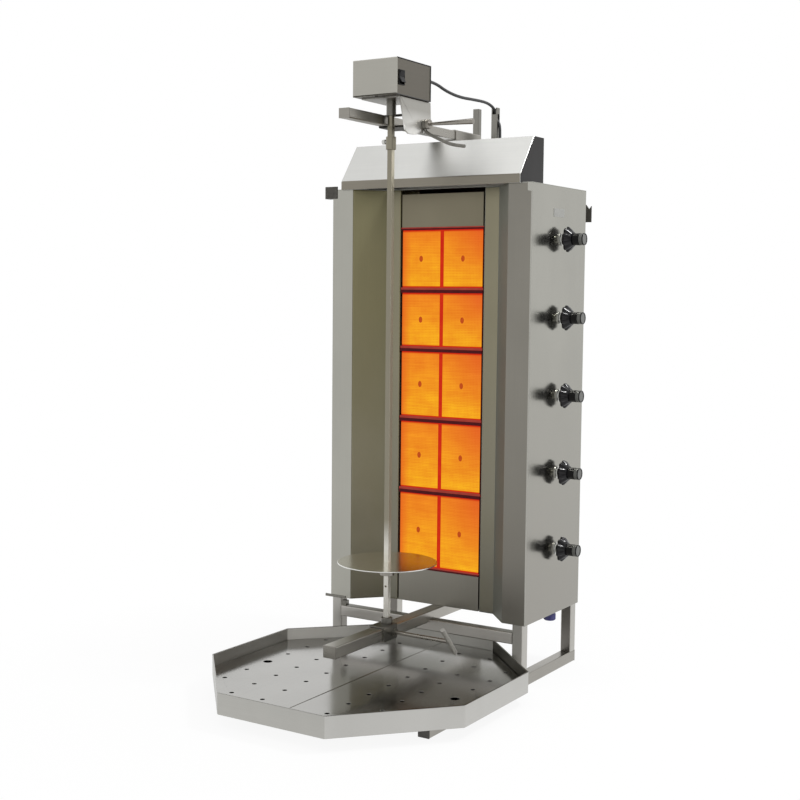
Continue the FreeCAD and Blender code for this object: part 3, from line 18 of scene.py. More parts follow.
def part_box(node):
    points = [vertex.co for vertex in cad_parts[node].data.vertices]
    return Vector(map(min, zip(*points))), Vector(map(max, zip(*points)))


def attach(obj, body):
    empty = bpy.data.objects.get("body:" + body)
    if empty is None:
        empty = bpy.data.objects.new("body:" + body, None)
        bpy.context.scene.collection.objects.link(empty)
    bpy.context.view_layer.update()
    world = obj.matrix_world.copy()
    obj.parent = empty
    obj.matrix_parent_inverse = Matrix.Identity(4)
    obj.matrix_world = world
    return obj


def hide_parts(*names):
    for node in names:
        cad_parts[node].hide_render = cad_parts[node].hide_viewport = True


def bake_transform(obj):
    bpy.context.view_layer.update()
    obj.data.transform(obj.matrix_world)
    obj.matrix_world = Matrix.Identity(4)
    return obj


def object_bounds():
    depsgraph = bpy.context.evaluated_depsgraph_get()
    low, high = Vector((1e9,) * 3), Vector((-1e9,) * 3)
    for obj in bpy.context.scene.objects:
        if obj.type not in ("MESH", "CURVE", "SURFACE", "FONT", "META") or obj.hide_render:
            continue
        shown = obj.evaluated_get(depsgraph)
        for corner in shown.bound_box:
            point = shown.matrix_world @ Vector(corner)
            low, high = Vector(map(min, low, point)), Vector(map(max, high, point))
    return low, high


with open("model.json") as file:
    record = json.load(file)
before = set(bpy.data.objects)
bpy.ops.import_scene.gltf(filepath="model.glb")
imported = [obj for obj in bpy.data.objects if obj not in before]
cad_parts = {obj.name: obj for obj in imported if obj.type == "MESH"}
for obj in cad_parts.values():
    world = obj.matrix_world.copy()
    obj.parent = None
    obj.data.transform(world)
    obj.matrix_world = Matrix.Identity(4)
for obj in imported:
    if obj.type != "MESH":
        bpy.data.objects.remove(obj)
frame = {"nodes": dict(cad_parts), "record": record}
cad_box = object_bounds()
nodes = frame["nodes"]
record = frame["record"]
body_of = {node: body for body, members in record["behaviour"]["bodies"].items() for node in members}
MM = 0.001
front_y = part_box("side_panel_left")[0].y

# %% [markdown]
# ## Camera
#
# The photograph was taken from the grill's right, a little above its middle, with a long lens. A camera
# could be found by hand, but a fit of lens, place and turn to the grill's corners is exact, so its
# results stand here as named values.

# %% Camera
IMAGE_SIDE = 800
FOCAL_PIXELS = 1310.3
SENSOR = 36.0
CAMERA_PLACE = Vector((1.4745, -2.4324 + front_y, 0.8298))
LOOK_LEFT = math.radians(32.347)
LOOK_DOWN = math.radians(4.615)
ROLL = math.radians(0.548)


def new_object(data, name="holder"):
    """Puts data into the scene as an object at the origin."""
    thing = bpy.data.objects.new(name, data)
    bpy.context.scene.collection.objects.link(thing)
    return thing


def add_camera():
    forward = Vector((-math.sin(LOOK_LEFT) * math.cos(LOOK_DOWN), math.cos(LOOK_LEFT) * math.cos(LOOK_DOWN),
                      -math.sin(LOOK_DOWN)))
    right = Vector((math.cos(LOOK_LEFT), math.sin(LOOK_LEFT), 0))
    down = forward.cross(right)
    rolled_right = right * math.cos(ROLL) - down * math.sin(ROLL)
    rolled_down = right * math.sin(ROLL) + down * math.cos(ROLL)
    data = bpy.data.cameras.new("camera")
    data.sensor_width = SENSOR
    data.lens = FOCAL_PIXELS * SENSOR / IMAGE_SIDE
    camera = new_object(data, "camera")
    axes = Matrix((rolled_right, -rolled_down, -forward)).transposed()
    camera.matrix_world = Matrix.Translation(CAMERA_PLACE) @ axes.to_4x4()
    bpy.context.scene.camera = camera
    return camera


print("lens", round(add_camera().data.lens, 1), "mm")

# %% [markdown]
# ## Colours and shader helpers
#
# Shaders take linear colour, while a judged colour is in 0 to 255 steps, so one helper converts.
# A shader is a chain of nodes, and wiring each by hand takes many lines, so another helper adds a node
# and feeds its inputs in one call.

# %% Shader helpers


def srgb(red, green, blue):
    """A colour in 0 to 255 steps as linear red, green, blue and alpha."""
    values = []
    for step in (red, green, blue):
        share = step / 255
        values.append(share / 12.92 if share <= 0.04045 else ((share + 0.055) / 1.055) ** 2.4)
    return (*values, 1.0)


def darker(colour, factor):
    return tuple(min(1.0, value * factor) for value in colour[:3]) + (1.0,)


def new_material(name):
    material = bpy.data.materials.new(name)
    material.use_nodes = True
    return material, material.node_tree, material.node_tree.nodes["Principled BSDF"]


def feed(tree, node, inputs):
    """Feeds a node's inputs from sockets or fixed values."""
    for label, value in inputs.items():
        if isinstance(value, bpy.types.NodeSocket):
            tree.links.new(value, node.inputs[label])
        else:
            node.inputs[label].default_value = value


def wire(tree, kind, inputs=None, **settings):
    """Adds a node, sets its properties, and feeds its inputs."""
    node = tree.nodes.new(kind)
    for name, value in settings.items():
        setattr(node, name, value)
    feed(tree, node, inputs or {})
    return node


def math_node(tree, operation, first, second=0.0):
    return wire(tree, "ShaderNodeMath", {0: first, 1: second}, operation=operation).outputs[0]


# %% Noise, ranges and blends
NOISE_ROUGHNESS = 0.55
MIX_FIRST = 6
MIX_SECOND = 7
MIX_RESULT = 2


def own_coordinates(tree):
    place = wire(tree, "ShaderNodeTexCoord")
    return wire(tree, "ShaderNodeSeparateXYZ", {0: place.outputs["Object"]}).outputs


def mapped_noise(tree, scale, detail=3.0):
    """Noise on the piece's own coordinates, stretched by a different scale along each axis."""
    place = wire(tree, "ShaderNodeTexCoord")
    mapping = wire(tree, "ShaderNodeMapping", {"Vector": place.outputs["Object"], "Scale": scale})
    noise = wire(tree, "ShaderNodeTexNoise", {"Vector": mapping.outputs["Vector"], "Scale": 1.0,
                                              "Detail": detail, "Roughness": NOISE_ROUGHNESS})
    return noise.outputs["Fac"]


def spread(tree, value, low, high, start=0.3, end=0.7):
    """Maps a range, by default the middle of a noise's, to the limits given."""
    node = wire(tree, "ShaderNodeMapRange", {"Value": value, "From Min": start, "From Max": end,
                                             "To Min": low, "To Max": high})
    return node.outputs["Result"]


def blended(tree, factor, first, second):
    """Mixes two colours, each a fixed colour or another node's output."""
    inputs = {"Factor": factor, MIX_FIRST: first, MIX_SECOND: second}
    return wire(tree, "ShaderNodeMix", inputs, data_type="RGBA").outputs[MIX_RESULT]


def grained(tree, noise, colour, contrast):
    """The colour, a little darker and lighter with the noise."""
    share = spread(tree, noise, 0, 1)
    return blended(tree, share, darker(colour, 1 - contrast), darker(colour, 1 + contrast))


def raised(tree, height, strength, distance):
    """The normal of a surface that the height lifts a little."""
    bump = wire(tree, "ShaderNodeBump", {"Strength": strength, "Distance": distance, "Height": height})
    return bump.outputs["Normal"]


# %% [markdown]
# ## Metals, plastics and rubber
#
# Steel is the main finish here. Its brushing is a noise that is squeezed across the grain and stretched
# along it, which tints the base colour, varies the roughness and makes a faint bump. A picture of
# brushed steel could do the same, but a noise has no seams and no size limit. Cast, turned and moulded
# surfaces have a fine grain that is the same in all directions.

# %% Brushed and plain finishes
GRAIN_ACROSS = 1100.0
GRAIN_ALONG = 4.0
UPRIGHT = (GRAIN_ACROSS, GRAIN_ACROSS, GRAIN_ALONG)
SIDEWAYS = (GRAIN_ALONG, GRAIN_ACROSS, GRAIN_ACROSS)
INWARDS = (GRAIN_ACROSS, GRAIN_ALONG, GRAIN_ACROSS)
STREAK_CONTRAST = 0.045
STREAK_BUMP = 0.02
STREAK_DEPTH = 0.4 * MM
STREAK_GLOSS = 0.03
SMUDGE_SCALE = (7.0, 7.0, 5.0)
SMUDGE_TONE = 0.88
SMUDGE_GLOSS = 0.04


def brushed_steel(name, colour, roughness, grain, low_colour=None, fade=(0.15, 0.35), metallic=1.0):
    """Sheet steel with a grain along one axis and soft smudges; its tone may change towards the ground."""
    material, tree, shader = new_material(name)
    base = srgb(*colour)
    streaks = mapped_noise(tree, grain)
    smudges = mapped_noise(tree, SMUDGE_SCALE, detail=4.0)
    tint = grained(tree, streaks, base, STREAK_CONTRAST)
    if low_colour:
        height = own_coordinates(tree)["Z"]
        tint = blended(tree, spread(tree, height, 1, 0, *fade), tint, srgb(*low_colour))
    tint = blended(tree, spread(tree, smudges, 0, 0.5), tint, darker(base, SMUDGE_TONE))
    rough = math_node(tree, "ADD", spread(tree, streaks, roughness - STREAK_GLOSS, roughness + STREAK_GLOSS),
                      spread(tree, smudges, -SMUDGE_GLOSS, SMUDGE_GLOSS))
    feed(tree, shader, {"Base Color": tint, "Roughness": rough, "Metallic": metallic,
                        "Normal": raised(tree, streaks, STREAK_BUMP, STREAK_DEPTH)})
    return material


FINE_GRAIN = 160.0
BROAD_GRAIN = FINE_GRAIN / 12
GRAIN_DEPTH = 0.2 * MM
GLOSS_CHANGE = 0.05
SHINIEST = 0.02


def plain_finish(name, colour, roughness, metallic=0.0, contrast=0.08, bump=0.05, coat=0.0, specular=0.5):
    """A cast, turned, moulded or painted surface with fine even grain."""
    material, tree, shader = new_material(name)
    fine = mapped_noise(tree, (FINE_GRAIN,) * 3, detail=2.0)
    broad = mapped_noise(tree, (BROAD_GRAIN,) * 3)
    rough = spread(tree, broad, max(SHINIEST, roughness - GLOSS_CHANGE), roughness + GLOSS_CHANGE)
    feed(tree, shader, {"Base Color": grained(tree, fine, srgb(*colour), contrast), "Roughness": rough,
                        "Metallic": metallic, "Coat Weight": coat, "Specular IOR Level": specular,
                        "Normal": raised(tree, fine, bump, GRAIN_DEPTH)})
    return material


# %% Steel of the cabinet, tray and motor box
side_steel = brushed_steel("side_steel", (165, 164, 156), 0.20, UPRIGHT, (150, 147, 140), (0.15, 0.75))
# Painted reflection: the front faces of both side panels get tones of their own, the right one darker towards
# the ground.
left_flange_painted_reflection = brushed_steel("left_flange_painted_reflection", (168, 167, 159), 0.34, UPRIGHT, (166, 165, 157))
right_flange_painted_reflection = brushed_steel("right_flange_painted_reflection", (132, 129, 121), 0.34, UPRIGHT, (120, 117, 110),
                                   (0.15, 0.7))
wing_steel = brushed_steel("wing_steel", (140, 135, 104), 0.46, UPRIGHT, (138, 134, 121), (0.2, 0.8),
                           metallic=0.85)
right_wing_steel = brushed_steel("right_wing_steel", (124, 125, 116), 0.55, UPRIGHT, (108, 109, 101),
                                 (0.70, 0.92), metallic=0.3)
# Painted reflection on the front strips of the wings.
strip_painted_reflection = brushed_steel("strip_painted_reflection", (142, 137, 116), 0.40, UPRIGHT, (124, 122, 113), (0.2, 0.8))
fascia_steel = brushed_steel("fascia_steel", (128, 122, 104), 0.38, UPRIGHT)
low_fascia_steel = brushed_steel("low_fascia_steel", (142, 139, 130), 0.38, UPRIGHT)
# Painted highlight on the rounded front corner of the right side panel.
corner_painted_highlight = brushed_steel("corner_painted_highlight", (172, 171, 164), 0.30, UPRIGHT)
back_steel = brushed_steel("back_steel", (165, 165, 158), 0.30, UPRIGHT)
hood_sheet = brushed_steel("hood_sheet", (202, 202, 199), 0.42, SIDEWAYS)
# Painted reflection: a darker tone for the hood's front lip and a very dark one for its two ends.
hood_lip_painted_reflection = brushed_steel("hood_lip_painted_reflection", (136, 131, 120), 0.40, SIDEWAYS)
hood_end_painted_reflection = brushed_steel("hood_end_painted_reflection", (51, 50, 50), 0.40, UPRIGHT)
tray_steel = brushed_steel("tray_steel", (168, 167, 163), 0.15, INWARDS)
# Painted shade: the tray's floor, seen through the inserts' holes, is darker.
tray_floor_painted_shade = brushed_steel("tray_floor_painted_shade", (96, 94, 90), 0.40, INWARDS)
tray_shade_steel = brushed_steel("tray_shade_steel", (84, 81, 71), 0.34, INWARDS)
# Painted light: a pale, non-metal copy for the tray's back-left wall, which lifts its shade under the
# cabinet.
tray_back_painted_light = brushed_steel("tray_back_painted_light", (206, 204, 198), 0.34, SIDEWAYS, metallic=0.0)
# Painted reflections on the tray's front and right faces.
tray_front_painted_reflection = brushed_steel("tray_front_painted_reflection", (178, 177, 172), 0.34, SIDEWAYS)
tray_side_painted_reflection = brushed_steel("tray_side_painted_reflection", (194, 193, 189), 0.34, INWARDS)
box_steel = brushed_steel("box_steel", (170, 168, 160), 0.34, SIDEWAYS)
box_side_steel = brushed_steel("box_side_steel", (104, 100, 92), 0.36, INWARDS)
print(len(bpy.data.materials), "finishes for sheets")

# %% Steel of the frame and the spit
tube_upright = brushed_steel("tube_upright", (184, 182, 176), 0.30, UPRIGHT)
tube_inwards = brushed_steel("tube_inwards", (158, 155, 148), 0.30, INWARDS)
low_rail_steel = brushed_steel("low_rail_steel", (178, 175, 168), 0.30, INWARDS)
tube_sideways = brushed_steel("tube_sideways", (150, 147, 140), 0.30, SIDEWAYS)
# Painted reflections on the front faces of the legs and the crossbar, and on the left front legs' right
# faces.
rear_leg_painted_reflection = brushed_steel("rear_leg_painted_reflection", (117, 114, 109), 0.32, UPRIGHT)
front_leg_painted_reflection = brushed_steel("front_leg_painted_reflection", (168, 166, 161), 0.32, UPRIGHT)
leg_side_painted_reflection = brushed_steel("leg_side_painted_reflection", (140, 137, 132), 0.32, UPRIGHT)
# Painted shade on the left base rail's right face, under the tray.
low_rail_painted_shade = brushed_steel("low_rail_painted_shade", (118, 115, 110), 0.34, INWARDS)
crossbar_painted_reflection = brushed_steel("crossbar_painted_reflection", (186, 183, 178), 0.32, SIDEWAYS)
post_steel = brushed_steel("post_steel", (132, 130, 124), 0.32, UPRIGHT)
# Painted light: the bracket's cheek turns almost white towards its lower edge.
bracket_steel = brushed_steel("bracket_steel", (162, 160, 154), 0.34, UPRIGHT, (238, 237, 233),
                              (1.165, 1.205))
# Painted light: the spit turns pale below the disc, and its right faces get a lighter copy.
spit_steel = brushed_steel("spit_steel", (138, 133, 118), 0.30, UPRIGHT, (214, 212, 205), (0.30, 0.36))
spit_side_painted_light = brushed_steel("spit_side_painted_light", (184, 178, 160), 0.30, UPRIGHT, (240, 238, 230),
                                (0.30, 0.36), metallic=0.7)
print(len(bpy.data.materials), "finishes with those of the frame")

# %% Turned metal, plastic, rubber and paint
polished_steel = plain_finish("polished_steel", (238, 236, 226), 0.20, metallic=1.0, contrast=0.03, bump=0.0)
# Painted highlight on the meat disc's rim.
disc_rim_painted_highlight = plain_finish("disc_rim_painted_highlight", (226, 226, 222), 0.20, metallic=1.0, contrast=0.03, bump=0.01)
bright_metal = plain_finish("bright_metal", (196, 196, 192), 0.14, metallic=1.0, contrast=0.03, bump=0.01)
worn_metal = plain_finish("worn_metal", (146, 142, 135), 0.30, metallic=1.0)
turned_steel = plain_finish("turned_steel", (118, 116, 110), 0.34, metallic=1.0, contrast=0.10)
dark_metal = plain_finish("dark_metal", (74, 72, 67), 0.42, metallic=0.6, contrast=0.20)
handle_steel = plain_finish("handle_steel", (158, 156, 150), 0.50, metallic=0.5, contrast=0.10)
# Painted shade under the motor bracket's plate and behind its cheek.
bracket_painted_shade = plain_finish("bracket_painted_shade", (52, 50, 46), 0.45, metallic=0.7, contrast=0.15)
brass = plain_finish("brass", (190, 160, 96), 0.30, metallic=1.0)
black_plastic = plain_finish("black_plastic", (14, 13, 15), 0.12, contrast=0.12, bump=0.01, specular=0.28)
switch_plastic = plain_finish("switch_plastic", (9, 9, 10), 0.35, contrast=0.12, bump=0.01, specular=0.2)
grey_plastic = plain_finish("grey_plastic", (78, 75, 71), 0.45, contrast=0.12)
blue_plastic = plain_finish("blue_plastic", (40, 38, 110), 0.30, contrast=0.12, coat=0.3)
black_rubber = plain_finish("black_rubber", (30, 30, 32), 0.48, contrast=0.12, bump=0.10)
mark_paint = plain_finish("mark_paint", (205, 205, 200), 0.45, contrast=0.04)
print(len(bpy.data.materials), "finishes so far")

# %% [markdown]
# ## Glowing ceramic
#
# Each radiant is a pale ceramic tile full of small holes in which the gas burns, so the tile itself
# glows: yellow where the gas is richest, low in each tile, and redder at its edges, where the metal
# cools it. The burners differ in height, so each has a glow of its own, which takes its tint from how
# high a spot lies between the tile's two edges. Lamps behind a pale tile would be slower and less exact.

# %% Places on the burner wall
SAME_POINT = 1e-6


def solids(node):
    """The lowest and highest corner of each separate solid in a node."""
    mesh = bmesh.new()
    mesh.from_mesh(nodes[node].data)
    bmesh.ops.remove_doubles(mesh, verts=mesh.verts, dist=SAME_POINT)
    left = set(mesh.verts)
    found = []
    while left:
        group = [left.pop()]
        for vert in group:
            for edge in vert.link_edges:
                other = edge.other_vert(vert)
                if other in left:
                    left.remove(other)
                    group.append(other)
        low = Vector(min(v.co[i] for v in group) for i in range(3))
        high = Vector(max(v.co[i] for v in group) for i in range(3))
        found.append((low, high))
    mesh.free()
    return sorted(found, key=lambda corners: (round(corners[0].z, 4), round(corners[0].x, 4)))


plaques = solids("ceramic_plaques")
burner_count = len(plaques) // 2
plaque_low, plaque_high = plaques[0]
plaque_width = plaque_high.x - plaque_low.x
burner_rows = [plaques[2 * row:2 * row + 2] for row in range(burner_count)]
print("heights of the", burner_count, "burners' tiles:",
      [round((pair[0][1].z - pair[0][0].z) * 1000, 1) for pair in burner_rows], "mm")

# %% Surfaces that glow
GLOSSY_NEAR = 0.55
GLOSSY_FAR = 0.08
GLOSSY_REACH = (0.22, 0.42)
DIFFUSE_SHARE = 0.3


def seen_strength(tree):
    """Full glow, but less on what it lights, and hardly any in a mirror half a metre away."""
    ray = wire(tree, "ShaderNodeLightPath").outputs
    dimmed = spread(tree, ray["Ray Length"], 1 - GLOSSY_NEAR, 1 - GLOSSY_FAR, *GLOSSY_REACH)
    glossy = math_node(tree, "MULTIPLY", ray["Is Glossy Ray"], dimmed)
    diffuse = math_node(tree, "MULTIPLY", ray["Is Diffuse Ray"], 1 - DIFFUSE_SHARE)
    return math_node(tree, "SUBTRACT", 1.0, math_node(tree, "ADD", glossy, diffuse))


def glowing(name, burnt):
    """A dark surface that shines by itself; its colour of light is left to the caller."""
    material, tree, shader = new_material(name)
    feed(tree, shader, {"Base Color": srgb(*burnt), "Roughness": 0.85, "Specular IOR Level": 0.1,
                        "Emission Strength": seen_strength(tree)})
    return material, tree, shader


def add_glow(tree, shader, glow, layers):
    """Lays more colours over a glow, each by its share, and gives the result to the shader."""
    for share, colour in layers:
        glow = blended(tree, share, glow, srgb(*colour))
    feed(tree, shader, {"Emission Color": glow})


# %% Ceramic tiles


def make_ceramic(name, low, high):
    """The glow of one burner's two tiles, from the height of their lower and upper edges."""
    material, tree, shader = glowing(name, (40, 15, 6))
    across, depth, height = own_coordinates(tree)
    rise = spread(tree, height, 0, 1, low, high)
    left = plaques[0][0].x
    right = plaques[1][0].x
    cool_left = spread(tree, across, 1, 0, left, left + 0.24 * plaque_width)
    cool_right = spread(tree, across, 0, 1, right + 0.05 * plaque_width, right + 0.9 * plaque_width)
    top_corner = math_node(tree, "MULTIPLY", cool_right, rise)
    patches = mapped_noise(tree, (24.0, 24.0, 30.0))
    lines = mapped_noise(tree, (9.0, 9.0, 260.0), detail=1.0)
    top_rim = spread(tree, height, 0, 0.8, high - 3 * MM, high)
    bottom_rim = spread(tree, height, 0.5, 0, low, low + 2 * MM)
    # Painted shade: the pits' walls and floors glow a deeper orange, so the holes read as recesses.
    pit = spread(tree, depth, 0, 0.6, plaque_low.y + 0.3 * MM, plaque_low.y + 2.2 * MM)
    add_glow(tree, shader, blended(tree, rise, srgb(255, 192, 30), srgb(245, 142, 34)), [
        (math_node(tree, "MULTIPLY", cool_left, 0.9), (232, 100, 34)),
        (math_node(tree, "MULTIPLY", top_corner, 0.95), (230, 98, 38)),
        (spread(tree, patches, 0, 0.42), (226, 106, 24)), (spread(tree, lines, 0, 0.24), (214, 92, 20)),
        (top_rim, (205, 52, 18)), (bottom_rim, (214, 80, 18)), (pit, (206, 78, 12))])
    return material


ceramics = [make_ceramic(f"ceramic_{row + 1}", pair[0][0].z, pair[0][1].z)
            for row, pair in enumerate(burner_rows)]
print("glow made for", len(ceramics), "burners")

# %% Hot metal, and painted glow on the rails


def patchy(tree, first, second, scale):
    """Two colours that change into each other in patches."""
    patches = mapped_noise(tree, (scale,) * 3)
    return blended(tree, spread(tree, patches, 0, 1), srgb(*first), srgb(*second))


def make_even_glow(name, first, second, scale):
    material, tree, shader = glowing(name, (50, 20, 12))
    add_glow(tree, shader, patchy(tree, first, second, scale), [])
    return material


def make_hot_housing():
    """Red between the tiles, and black beyond their outer edges and behind them."""
    material, tree, shader = glowing("hot_housing", (40, 14, 8))
    across, depth, height = own_coordinates(tree)
    edge = plaques[1][1].x
    beyond = spread(tree, math_node(tree, "ABSOLUTE", across), 0, 1, edge - 1 * MM, edge + 1 * MM)
    behind = spread(tree, depth, 0, 1, plaque_low.y + 4 * MM, plaque_low.y + 14 * MM)
    add_glow(tree, shader, patchy(tree, (205, 44, 12), (196, 28, 14), 60.0),
             [(beyond, (30, 4, 4)), (behind, (0, 0, 0))])
    return material


stamp_glow = make_even_glow("stamp_glow", (172, 62, 18), (196, 82, 22), 300.0)
# Painted light: the rails' upper ledges glow red as if lit by the tile below them, and their fronts glow a
# dim dark red.
rail_ledge_painted_light = make_even_glow("rail_ledge_painted_light", (138, 46, 42), (158, 62, 50), 30.0)
rail_front = make_even_glow("rail_front", (50, 8, 18), (66, 12, 24), 60.0)
hot_housing = make_hot_housing()
print(len(bpy.data.materials), "finishes with those that glow")

# %% [markdown]
# ## Which finish each CAD part gets
#
# A part keeps its mesh and only takes a finish here. Most of the finer pieces below take theirs from
# the same table, so that a part and what stands for it don't differ. A part that the table doesn't
# name is of black plastic.

# %% Finish of each part
FINISHES = [
    (side_steel, "side_panel_left", "side_panel_right"),
    (wing_steel, "wing_left"),
    (right_wing_steel, "wing_right"),
    (fascia_steel, "upper_fascia"),
    (low_fascia_steel, "lower_fascia"),
    (back_steel, "back_panel", "cabinet_floor", "roof_cap"),
    (hood_sheet, "flue_hood"),
    (tray_steel, "drip_tray", "tray_insert_left", "tray_insert_right"),
    (box_steel, "motor_cover"),
    (box_side_steel, "motor_tray"),
    (bracket_steel, "motor_bracket"),
    (hot_housing, "burner_housings"),
    (rail_front, "plaque_rails"),
    (ceramics[0], "ceramic_plaques"),
    (brass, "gas_taps"),
    (blue_plastic, "inlet_cap"),
    (low_rail_steel, "bottom_rail"),
    (tube_inwards, "base_rails", "top_rail", "rail_socket", "tube_end_caps"),
    (tube_upright, "legs"),
    (tube_sideways, "front_crossbar"),
    (post_steel, "rear_posts"),
    (handle_steel, "foot_clamp_handle"),
    (black_rubber, "cable_gland", "cable_grommet"),
    (dark_metal, "side_brackets"),
    (switch_plastic, "switch_bezel", "rocker_switch"),
    (spit_steel, "spit", "output_shaft", "coupling_sleeve"),
    (polished_steel, "meat_disc"),
    (bright_metal, "knob_bezels", "coupling_screw", "disc_screw"),
    (worn_metal, "top_clamp_screw", "foot_clamp_screw"),
    (turned_steel, "foot_saddle", "foot_bearing", "gas_pipes", "gear_motor", "motor_pinion", "output_gear",
     "output_bearing", "cover_screws", "top_clamp_lever"),
]
finish_of = {node: finish for finish, *group in FINISHES for node in group}
for node in nodes:
    finish_of.setdefault(node, black_plastic)
    nodes[node].data.materials.clear()
    nodes[node].data.materials.append(finish_of[node])
print(len(finish_of), "parts have a finish")

# %% [markdown]
# ## Helpers that make a mesh a piece
#
# Every new piece needs the same end: a mesh at its place, smooth shading that stops at real edges, a
# finish, a body to ride on and the part that it stands for.

# %% Finishing a piece
SHARP_ANGLE = math.radians(32)
FULL_WEIGHT = 100
EVEN_LIMIT = 60000


def mesh_from(bm):
    mesh = bpy.data.meshes.new("mesh")
    bm.to_mesh(mesh)
    bm.free()
    return mesh


def joined(parts):
    """Several bmeshes as one mesh."""
    whole = bmesh.new()
    for bm in parts:
        mesh = mesh_from(bm)
        whole.from_mesh(mesh)
        bpy.data.meshes.remove(mesh)
    return mesh_from(whole)


def plain_copy(source):
    """The evaluated mesh of an object, which is then removed."""
    depsgraph = bpy.context.evaluated_depsgraph_get()
    mesh = bpy.data.meshes.new_from_object(source.evaluated_get(depsgraph), depsgraph=depsgraph)
    bpy.data.objects.remove(source)
    return mesh


def with_even_normals(mesh):
    """Smooth shading in which a broad face stays flat and only the rounding beside it bends."""
    for face in mesh.polygons:
        face.use_smooth = True
    mesh.set_sharp_from_angle(angle=SHARP_ANGLE)
    holder = new_object(mesh)
    even = holder.modifiers.new("even", "WEIGHTED_NORMAL")
    even.keep_sharp = True
    even.weight = FULL_WEIGHT
    return plain_copy(holder)


def settle(name, mesh, material, body, stands_for=()):
    """Makes the mesh a piece at the origin that rides on a body."""
    mesh.materials.clear()
    mesh.materials.append(material)
    if len(mesh.polygons) < EVEN_LIMIT:
        mesh = with_even_normals(mesh)
    piece = new_object(mesh, name)
    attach(piece, body)
    if stands_for:
        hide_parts(*stands_for)
    return piece


def settle_for(node, name, mesh, material=None):
    """A piece that takes body and, if none is given, finish of the part it stands for."""
    return settle(name, mesh, material or finish_of[node], body_of[node], (node,))


# %% [markdown]
# ## Folded sheet
#
# On the real grill a sheet is bent over a punch, so a fold has a radius of a millimetre or two, while
# a cut edge is only broken with a file. The CAD sheets have sharp folds. A bevel by edge weight gives
# each kind of edge its own radius: an edge between two broad faces is a fold, and one beside a narrow
# face is the sheet's cut edge. Rebuilding each sheet by hand would give the same and be far longer.

# %% Rounded sheet parts
CUT_EDGE = 0.35 * MM
FOLD_OUTSIDE = 2.1 * MM
FOLD_INSIDE = 0.7 * MM
BROAD_FACE = 3.2 * MM
SHARPEST_LEFT = math.radians(28)
FLAT_ANGLE = math.radians(0.6)
SAME_CORNER = 2e-6


def merged_copy(node):
    """The node's mesh with its loose triangles joined into whole flat faces."""
    bm = bmesh.new()
    bm.from_mesh(nodes[node].data)
    bmesh.ops.remove_doubles(bm, verts=bm.verts, dist=SAME_CORNER)
    bmesh.ops.dissolve_limit(bm, angle_limit=FLAT_ANGLE, verts=bm.verts, edges=bm.edges)
    return bm


def narrowness(face):
    return face.calc_area() / max(edge.calc_length() for edge in face.edges)


def sheet_share(edge):
    """An edge's radius as a share of the outside fold's."""
    if min(narrowness(face) for face in edge.link_faces) <= BROAD_FACE:
        return CUT_EDGE / FOLD_OUTSIDE
    return 1.0 if edge.calc_face_angle_signed(0) > 0 else FOLD_INSIDE / FOLD_OUTSIDE


def bevelled(bm, width, segments, share=None):
    """The mesh with its sharp edges rounded, each by its share of the width."""
    layer = bm.edges.layers.float.new("bevel_weight_edge")
    for edge in bm.edges:
        if len(edge.link_faces) == 2 and edge.calc_face_angle(0) > SHARPEST_LEFT:
            edge[layer] = share(edge) if share else 1.0
    holder = new_object(mesh_from(bm))
    bevel = holder.modifiers.new("rounding", "BEVEL")
    bevel.limit_method = "WEIGHT"
    bevel.width = width
    bevel.segments = segments
    bevel.use_clamp_overlap = False
    bevel.miter_outer = "MITER_ARC"
    return plain_copy(holder)


def rounded_sheet(node):
    return settle_for(node, node + "_sheet", bevelled(merged_copy(node), FOLD_OUTSIDE, 3, sheet_share))


SHEETS = ["side_panel_left", "side_panel_right", "wing_left", "wing_right", "upper_fascia", "lower_fascia",
          "back_panel", "roof_cap", "flue_hood", "drip_tray", "tray_insert_left", "tray_insert_right",
          "motor_cover", "motor_tray", "motor_bracket"]
sheets = {node: rounded_sheet(node) for node in SHEETS}
print(len(sheets), "sheets with", sum(len(piece.data.polygons) for piece in sheets.values()), "faces")

# %% [markdown]
# ## Painted tones by face
#
# A steel sheet shows its surroundings, so in the photograph two faces of one sheet can differ a lot.
# The studio here is even, so such a face gets a painted reflection instead: a duller or brighter
# finish of its own. A few faces get painted shade, painted light or a painted highlight. That is
# simpler to control than a set of cards and lamps around the grill.

# %% Painted reflection, shade, light and highlight by face
FRONT = Vector((0, -1, 0))
RIGHT = Vector((1, 0, 0))
LEFT = Vector((-1, 0, 0))
UP = Vector((0, 0, 1))
RIGHT_CORNER = (RIGHT + FRONT).normalized()
INNER_RIGHT = (LEFT + FRONT).normalized()
SQUARELY = 0.98
ROUGHLY = 0.6
HOOD_LIP = 25 * MM
TRAY_FLOOR = 12 * MM
CHEEK_THICKNESS = 3.5 * MM
PLATE_DEPTH = 8 * MM


def tint_faces(piece, direction, material, closeness=0.9, where=None):
    """Gives the faces that look one way, and may have to lie in some place, a finish of their own; mostly
    that paints a reflection, shade, light or a highlight on them.
    """
    piece.data.materials.append(material)
    index = len(piece.data.materials) - 1
    for face in piece.data.polygons:
        if direction is not None and face.normal.dot(direction) < closeness:
            continue
        if where is None or where(face.center):
            face.material_index = index


